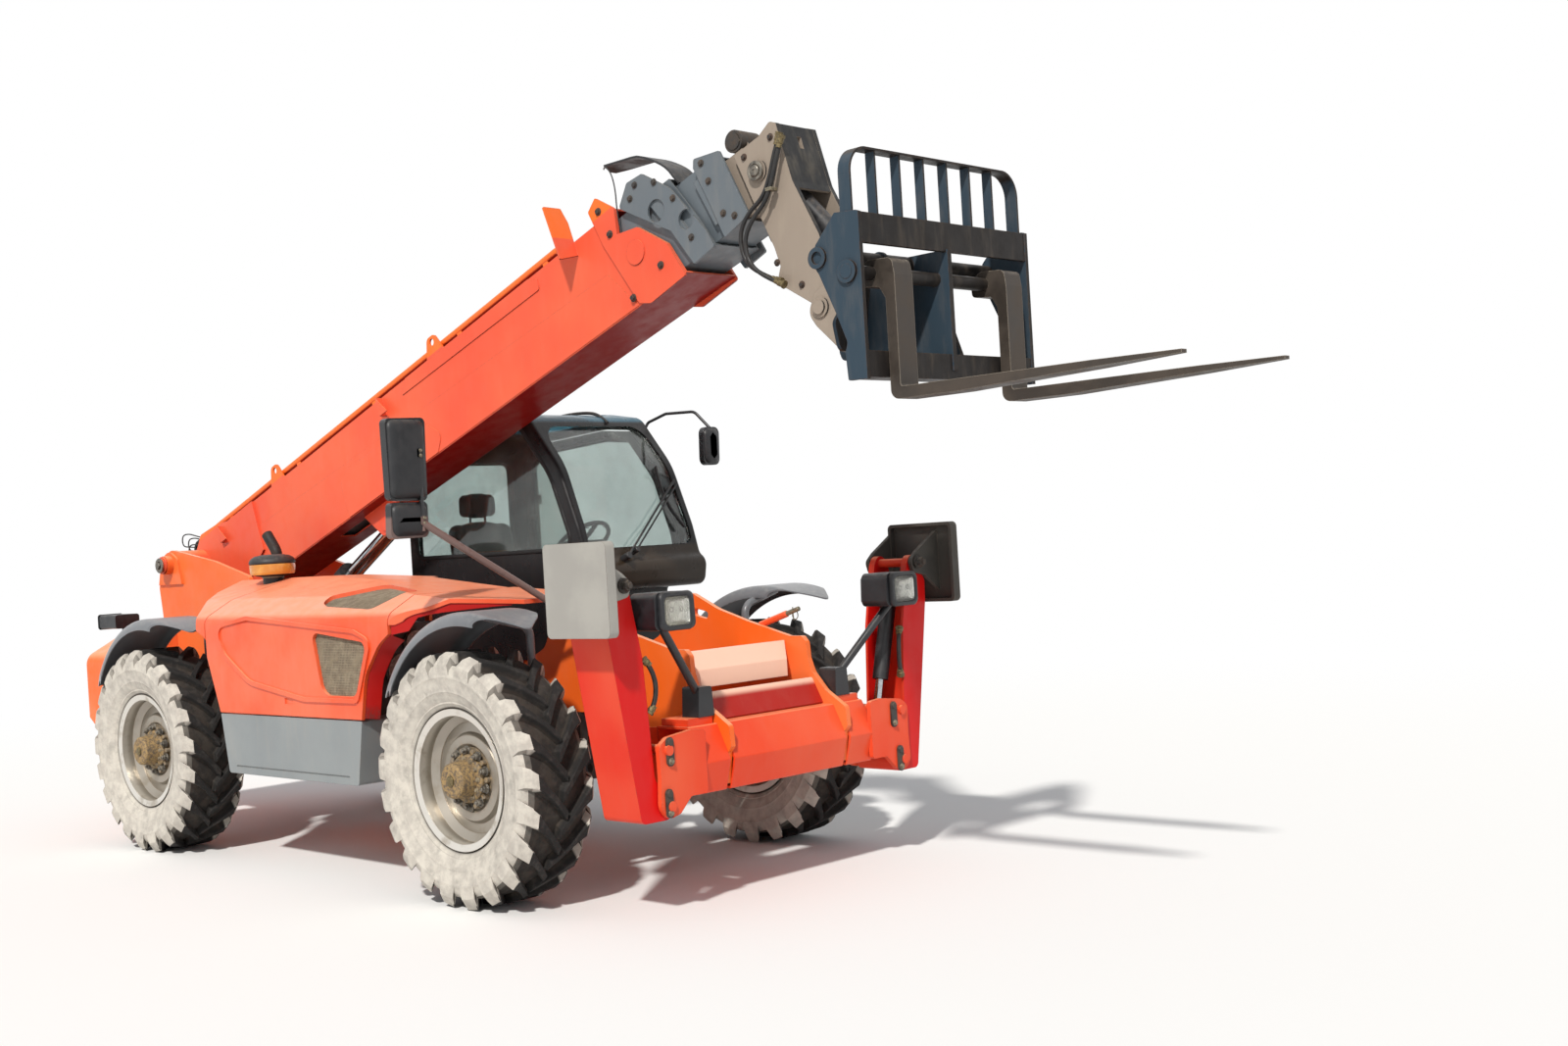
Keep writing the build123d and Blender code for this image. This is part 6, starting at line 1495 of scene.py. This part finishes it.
# %% Bowl and lid
BOWL = Vector((-0.935, -0.560, 0))
sleeve = turned([(0.1295, 1.632), (0.1345, 1.640), (0.1365, 1.655), (0.1385, 1.684), (0.1370, 1.694), (0.1290, 1.696),
                 (0.1200, 1.690), (0.1200, 1.640)], 56, BOWL, (0, 0, 1))
hang("precleaner_bowl", sleeve, amber_bowl, "chassis", 40)
lid = turned([(0, 1.744), (0.060, 1.752), (0.105, 1.744), (0.128, 1.730), (0.1395, 1.712), (0.1405, 1.700),
              (0.1370, 1.6955), (0.120, 1.6955), (0.120, 1.720), (0, 1.735)], 56, BOWL, (0, 0, 1), shut=False)
hang("precleaner_lid", lid, trim_plastic, "chassis", 50)
strap = turned([(0.060, 1.612), (0.066, 1.612), (0.066, 1.622), (0.060, 1.622)], 40, BOWL, (0, 0, 1))
hang("precleaner_clamp", strap, zinc, "chassis")
print("bowl, lid and clamp round", [round(v, 3) for v in BOWL[:2]])

# %% [markdown]
# ## Tail lamps and the locking bar
#
# Each tail lamp is a rounded housing round a red and an amber field. The chassis carries the bar that
# is laid on a raised cylinder's rod to lock it. It is stowed on the frame, held by a pin with a spring
# clip: a ring of wire, which is a short run of the pipe helper.

# %% Tail lamps
TAIL_X, TAIL_Y, TAIL_Z = -2.440, 0.875, 1.385
for side, hand in SIDES:
    middle = hand * TAIL_Y
    case = stack([(0.088, 0.048, 0.016, -0.002), (0.090, 0.050, 0.018, 0.006), (0.082, 0.042, 0.014, 0.011),
                  (0.080, 0.040, 0.014, 0.006)], upright(TAIL_X, middle, TAIL_Z, -1), shut=False)
    hang(f"tail_lamp_case_{side}", case, trim_plastic, "chassis", 50)
    for field, lens_finish, low, high in (("red", red_lens, -0.078, 0.020), ("amber", amber_lens, 0.022, 0.078)):
        lens = brick((TAIL_X - 0.012, middle + low, 1.346), (TAIL_X, middle + high, 1.424), 0.004)
        hang(f"tail_lamp_{field}_{side}", lens, lens_finish, "chassis", 50)
print("tail lamps at", TAIL_X, TAIL_Y, TAIL_Z)

# %% Locking bar, pin and clip
stow_a, stow_b = Vector((2.070, 0.442, 1.226)), Vector((2.336, 0.442, 1.307))
way = (stow_b - stow_a).normalized()
hang("locking_bar", rod(stow_a, stow_b - way * 0.085, 0.017, 20, 0.003), paint_orange, "chassis")
clip_at = stow_b - way * 0.045
turns = [math.pi * (1.15 + 1.7 * k / 7) for k in range(8)]
ring_line = [clip_at + Vector((0.0, 0.004, 0))
             + Vector((math.sin(a) * 0.016, 0.002 * a, -0.022 - math.cos(a) * 0.022)) for a in turns]
stem_line = [clip_at + Vector((0, 0, 0.020)), clip_at + Vector((0, 0, -0.02)), clip_at + Vector((0.004, 0, -0.045))]
pin = joined(rod(stow_b - way * 0.088, stow_b, 0.012, 18, 0.003), pipe(ring_line, 0.0026, 8),
             pipe(stem_line, 0.0028, 8))
hang("locking_pin_and_clip", pin, zinc, "chassis")
print("locking bar length", round((stow_b - stow_a).length, 3))

# %% [markdown]
# ## Turned-in edges round the front wheel
#
# Sheet panels end in a turned-in edge: it stiffens them, keeps the paint on the corner and hides the
# engine bay. The hood's arch and the panel over the wheel each get one, as strips lofted along the
# panel's own edge. The second one stops short of the highest place that the mudguard reaches when the
# wheel is steered.

# %% Wheel arch edges
KINGPIN_Y, SHEET = 0.78, 0.003
GUARD_R, GUARD_RISE, GUARD_BACK = 0.704, 0.095, 0.139    # the mudguard's arc, and its middle from the axle


def mudguard_reach(x, y):
    """Highest place over (x, y) that the right front mudguard takes at any steering angle."""
    best = 0.0
    for step in range(-19, 20):
        turn = math.radians(2 * step)
        dx, dy = x - AXLE_X, y + KINGPIN_Y
        along = dx * math.cos(turn) + dy * math.sin(turn) - GUARD_BACK
        across = dy * math.cos(turn) - dx * math.sin(turn)
        if -0.465 < across < -0.035 and abs(along) < GUARD_R:
            best = max(best, TYRE_R + GUARD_RISE + math.sqrt(GUARD_R ** 2 - along ** 2))
    return best


def edge_sheet(outer, inner):
    """Sheet between two lines of points, thickened away from the outside."""
    rows = []
    for a, b in zip(outer, inner):
        a, b = Vector(a), Vector(b)
        back = Vector((0, 0, SHEET)) if abs((b - a).normalized().z) < 0.9 else Vector((0, SHEET, 0))
        rows.append([a, b, b + back, a + back])
    return loft(rows)


# %% The hood's arch
edge = [(0.716, 0.870), (0.7345, 0.952), (0.753, 1.034), (0.7725, 1.0885), (0.804, 1.137), (0.841, 1.181),
        (0.879, 1.225), (0.902, 1.248), (0.928, 1.267), (0.957, 1.284), (0.985, 1.301)]
arch_outer, arch_inner = [], []
for k, (x, z) in enumerate(edge):
    (xa, za), (xb, zb) = edge[max(k - 1, 0)], edge[min(k + 1, len(edge) - 1)]
    way = Vector((xb - xa, zb - za)).normalized()
    arch_outer.append((x + way.y * 0.002, -1.099, z - way.x * 0.002))
    arch_inner.append((x + way.y * 0.040, -1.030, z - way.x * 0.040))
# The arch edge is coloured deep red as painted shade.
hang("hood_arch_edge", edge_sheet(arch_outer, arch_inner), deep_red_and_shade_paint, "engine_hood")

# %% The panel over the wheel
plan = [(1.004, -1.112), (1.06, -1.103), (1.12, -1.089), (1.18, -1.074), (1.24, -1.052), (1.30, -1.018),
        (1.36, -0.976), (1.42, -0.934), (1.48, -0.892), (1.54, -0.854), (1.60, -0.817)]
wing_top, wing_foot = [], []
for x, y in plan:
    spot = touch("body_panels", (x, y + 0.010, 2.0), (0, 0, -1))
    if spot is None:
        continue
    foot = max(spot.z - 0.105, mudguard_reach(x, y) + 0.012)
    if foot < spot.z - 0.026:
        wing_top.append((x, y + 0.004, spot.z - 0.014))
        wing_foot.append((x, y + 0.004, foot))
# The wing edge is coloured deep red as painted shade.
hang("wing_edge", edge_sheet(wing_top, wing_foot), deep_red_and_shade_paint, "chassis")
print("wing edge", len(wing_top), [round(b[2] - a[2], 3) for a, b in zip(wing_foot, wing_top)])

# %% [markdown]
# ## Hoses on the stabiliser legs
#
# A short hose bridges two ports on the inner face of each leg, so it moves with the leg. It bows out
# between its ends, because a hose that is pulled straight tears at its fittings. Each point of its line
# is found by looking from the middle of the machine at the leg, and stands off the face from there.

# %% Leg hoses
LEG_HOSE_R, LEG_FACE_X = 0.011, 2.588
leg_line = ((1.170, 2.590, 0.014), (1.150, 2.600, 0.032), (1.085, 2.612, 0.052), (1.015, 2.612, 0.050),
            (0.955, 2.602, 0.030), (0.935, 2.592, 0.014))    # height, place along the machine, distance off the face
for side, hand in SIDES[::-1]:
    points = []
    for z, x, away in leg_line:
        face = touch(f"stabiliser_leg_{side}", (LEG_FACE_X, 0, z), (0, hand, 0))
        points.append((x, face.y - hand * away, z))
    hose(f"leg_hose_{side}", points, LEG_HOSE_R, hose_rubber, f"leg_{side}", "cylinder_black")
    hang(f"leg_hose_fittings_{side}", end_fittings(points, LEG_HOSE_R, 0.040), brass, f"leg_{side}")

# %% [markdown]
# ## What shows when the hood is open
#
# The engine bay is filled by one casting. With the hood up it would look bare, so it gets what a real
# engine carries on its faces: stiffening ribs down its side, a rocker cover with its bolts, a spin-on
# oil filter and the belt pulleys at its front end. Each stands only a few centimetres proud, because
# the hood closes over them.

# %% Engine dressing
(ex0, ey0, ez0), (ex1, ey1, ez1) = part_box("engine_block")
middle = (ey0 + ey1) / 2
ribs = [brick((x - 0.006, ey0 - 0.016, ez0 + 0.06), (x + 0.006, ey0 - 0.0005, ez1 - 0.03), 0.003)
        for x in [ex0 + 0.06 + k * (ex1 - ex0 - 0.12) / 11 for k in range(12)]]
rail = brick((ex0 + 0.03, ey0 - 0.020, ez1 - 0.075), (ex1 - 0.03, ey0 - 0.0005, ez1 - 0.045), 0.005)
hang("engine_ribs", joined(rail, *ribs), cast_iron, "chassis")

# %% Rocker cover, oil filter and pulleys
cover = brick((ex0 + 0.10, middle - 0.12, ez1 + 0.0005), (ex1 - 0.12, middle + 0.10, ez1 + 0.042), 0.012)
lipped = brick((ex0 + 0.08, middle - 0.14, ez1 + 0.0005), (ex1 - 0.10, middle + 0.12, ez1 + 0.010), 0.003)
hang("rocker_cover", joined(cover, lipped), cylinder_black, "chassis")
cover_bolts = [(Vector((ex0 + 0.16 + k * (ex1 - ex0 - 0.34) / 4, middle - 0.01, ez1 + 0.042)), (0, 0, 1))
               for k in range(5)]
bolts("rocker_cover_bolts", cover_bolts, "chassis", "engine_grey", across=0.020, height=0.010)
can = turned([(0, 0), (0.034, 0), (0.046, 0.006), (0.048, 0.014), (0.048, 0.075), (0.043, 0.086), (0, 0.090)], 32,
             (ex0 + 0.20, ey0 + 0.09, ez1), (0, 0, 1), shut=False)
hang("oil_filter", can, deep_red_and_shade_paint, "chassis")
pulleys = []
for y, z, r in ((middle, ez0 + 0.22, 0.095), (middle - 0.16, ez1 - 0.10, 0.055), (middle + 0.10, ez1 - 0.11, 0.070)):
    pulleys.append(turned([(0, 0.0005), (r, 0.0005), (r, 0.006), (r - 0.010, 0.013), (r, 0.020), (r, 0.026),
                           (r - 0.02, 0.026), (r - 0.022, 0.018), (0.020, 0.018), (0.018, 0.030), (0, 0.030)],
                          40, (ex1, y, z), (1, 0, 0), shut=False))
hang("belt_pulleys", joined(*pulleys), pin_steel, "chassis")
print("engine dressing from", [round(v, 3) for v in (ex0, ey0, ez0)], "to", [round(v, 3) for v in (ex1, ey1, ez1)])

# %% [markdown]
# ## Studio
#
# A pale floor and a white surround keep the eye on the machine. One broad key lamp stands for the
# sun, high on the machine's right, and the surround fills the shade. The floor is plain matt white
# near the machine, so it keeps the shadow, and turns into the surround further out.

# %% Floor
FLOOR_HALF, FADE_FROM, FADE_TO = 60, 5.0, 13.0


def seen_directly(tree):
    """1 for rays that look at a thing, straight or by a reflection or a pane; 0 for ones that light it."""
    ray = add(tree, "ShaderNodeLightPath").outputs
    return sums(tree, "MAXIMUM", ray["Is Camera Ray"],
                sums(tree, "MAXIMUM", ray["Is Glossy Ray"], ray["Is Transmission Ray"]))


def studio_floor():
    """Matt white floor that fades into the white surround away from the middle."""
    material, tree = blank("studio_floor")
    place = add(tree, "ShaderNodeTexCoord").outputs["Object"]
    reach = add(tree, "ShaderNodeVectorMath", {"operation": "LENGTH"}, in0=place).outputs["Value"]
    far = band(tree, reach, FADE_FROM, FADE_TO)
    matt = add(tree, "ShaderNodeBsdfDiffuse", Color=shade("#F1F1F0"))
    white = add(tree, "ShaderNodeEmission", Color=(1, 1, 1, 1), Strength=1.0)
    mix = add(tree, "ShaderNodeMixShader", in0=sums(tree, "MULTIPLY", far, seen_directly(tree)),
              in1=matt.outputs[0], in2=white.outputs[0])
    add(tree, "ShaderNodeOutputMaterial", Surface=mix.outputs[0])
    return material


floor_mesh = bpy.data.meshes.new("floor")
floor_mesh.from_pydata([(x * FLOOR_HALF, y * FLOOR_HALF, 0) for x, y in ((-1, -1), (1, -1), (1, 1), (-1, 1))], [],
                       [(0, 1, 2, 3)])
floor_mesh.materials.append(studio_floor())
floor = bpy.data.objects.new("floor", floor_mesh)
bpy.context.scene.collection.objects.link(floor)

# %% Surround and key lamp
KEY_FROM = Vector((0.42, -0.72, 0.80))    # the way from the machine to the sun
world = bpy.data.worlds.new("surround")
world.use_nodes = True
sky = world.node_tree
sky.nodes.clear()
fill = add(sky, "ShaderNodeBackground", Color=shade("#F4F6FA"), Strength=0.50)
white = add(sky, "ShaderNodeBackground", Color=(1, 1, 1, 1), Strength=1.0)
chosen = add(sky, "ShaderNodeMixShader", in0=seen_directly(sky), in1=fill.outputs[0], in2=white.outputs[0])
add(sky, "ShaderNodeOutputWorld", Surface=chosen.outputs[0])
bpy.context.scene.world = world

sun = bpy.data.lights.new("key", "SUN")
sun.energy, sun.angle, sun.color = 3.1, math.radians(3), (1.0, 0.97, 0.92)
key = bpy.data.objects.new("key", sun)
key.rotation_mode = "QUATERNION"
key.rotation_quaternion = KEY_FROM.to_track_quat("Z", "Y")
bpy.context.scene.collection.objects.link(key)
bpy.context.scene.view_settings.view_transform = "Standard"
print("key lamp strength", round(sun.energy, 2))
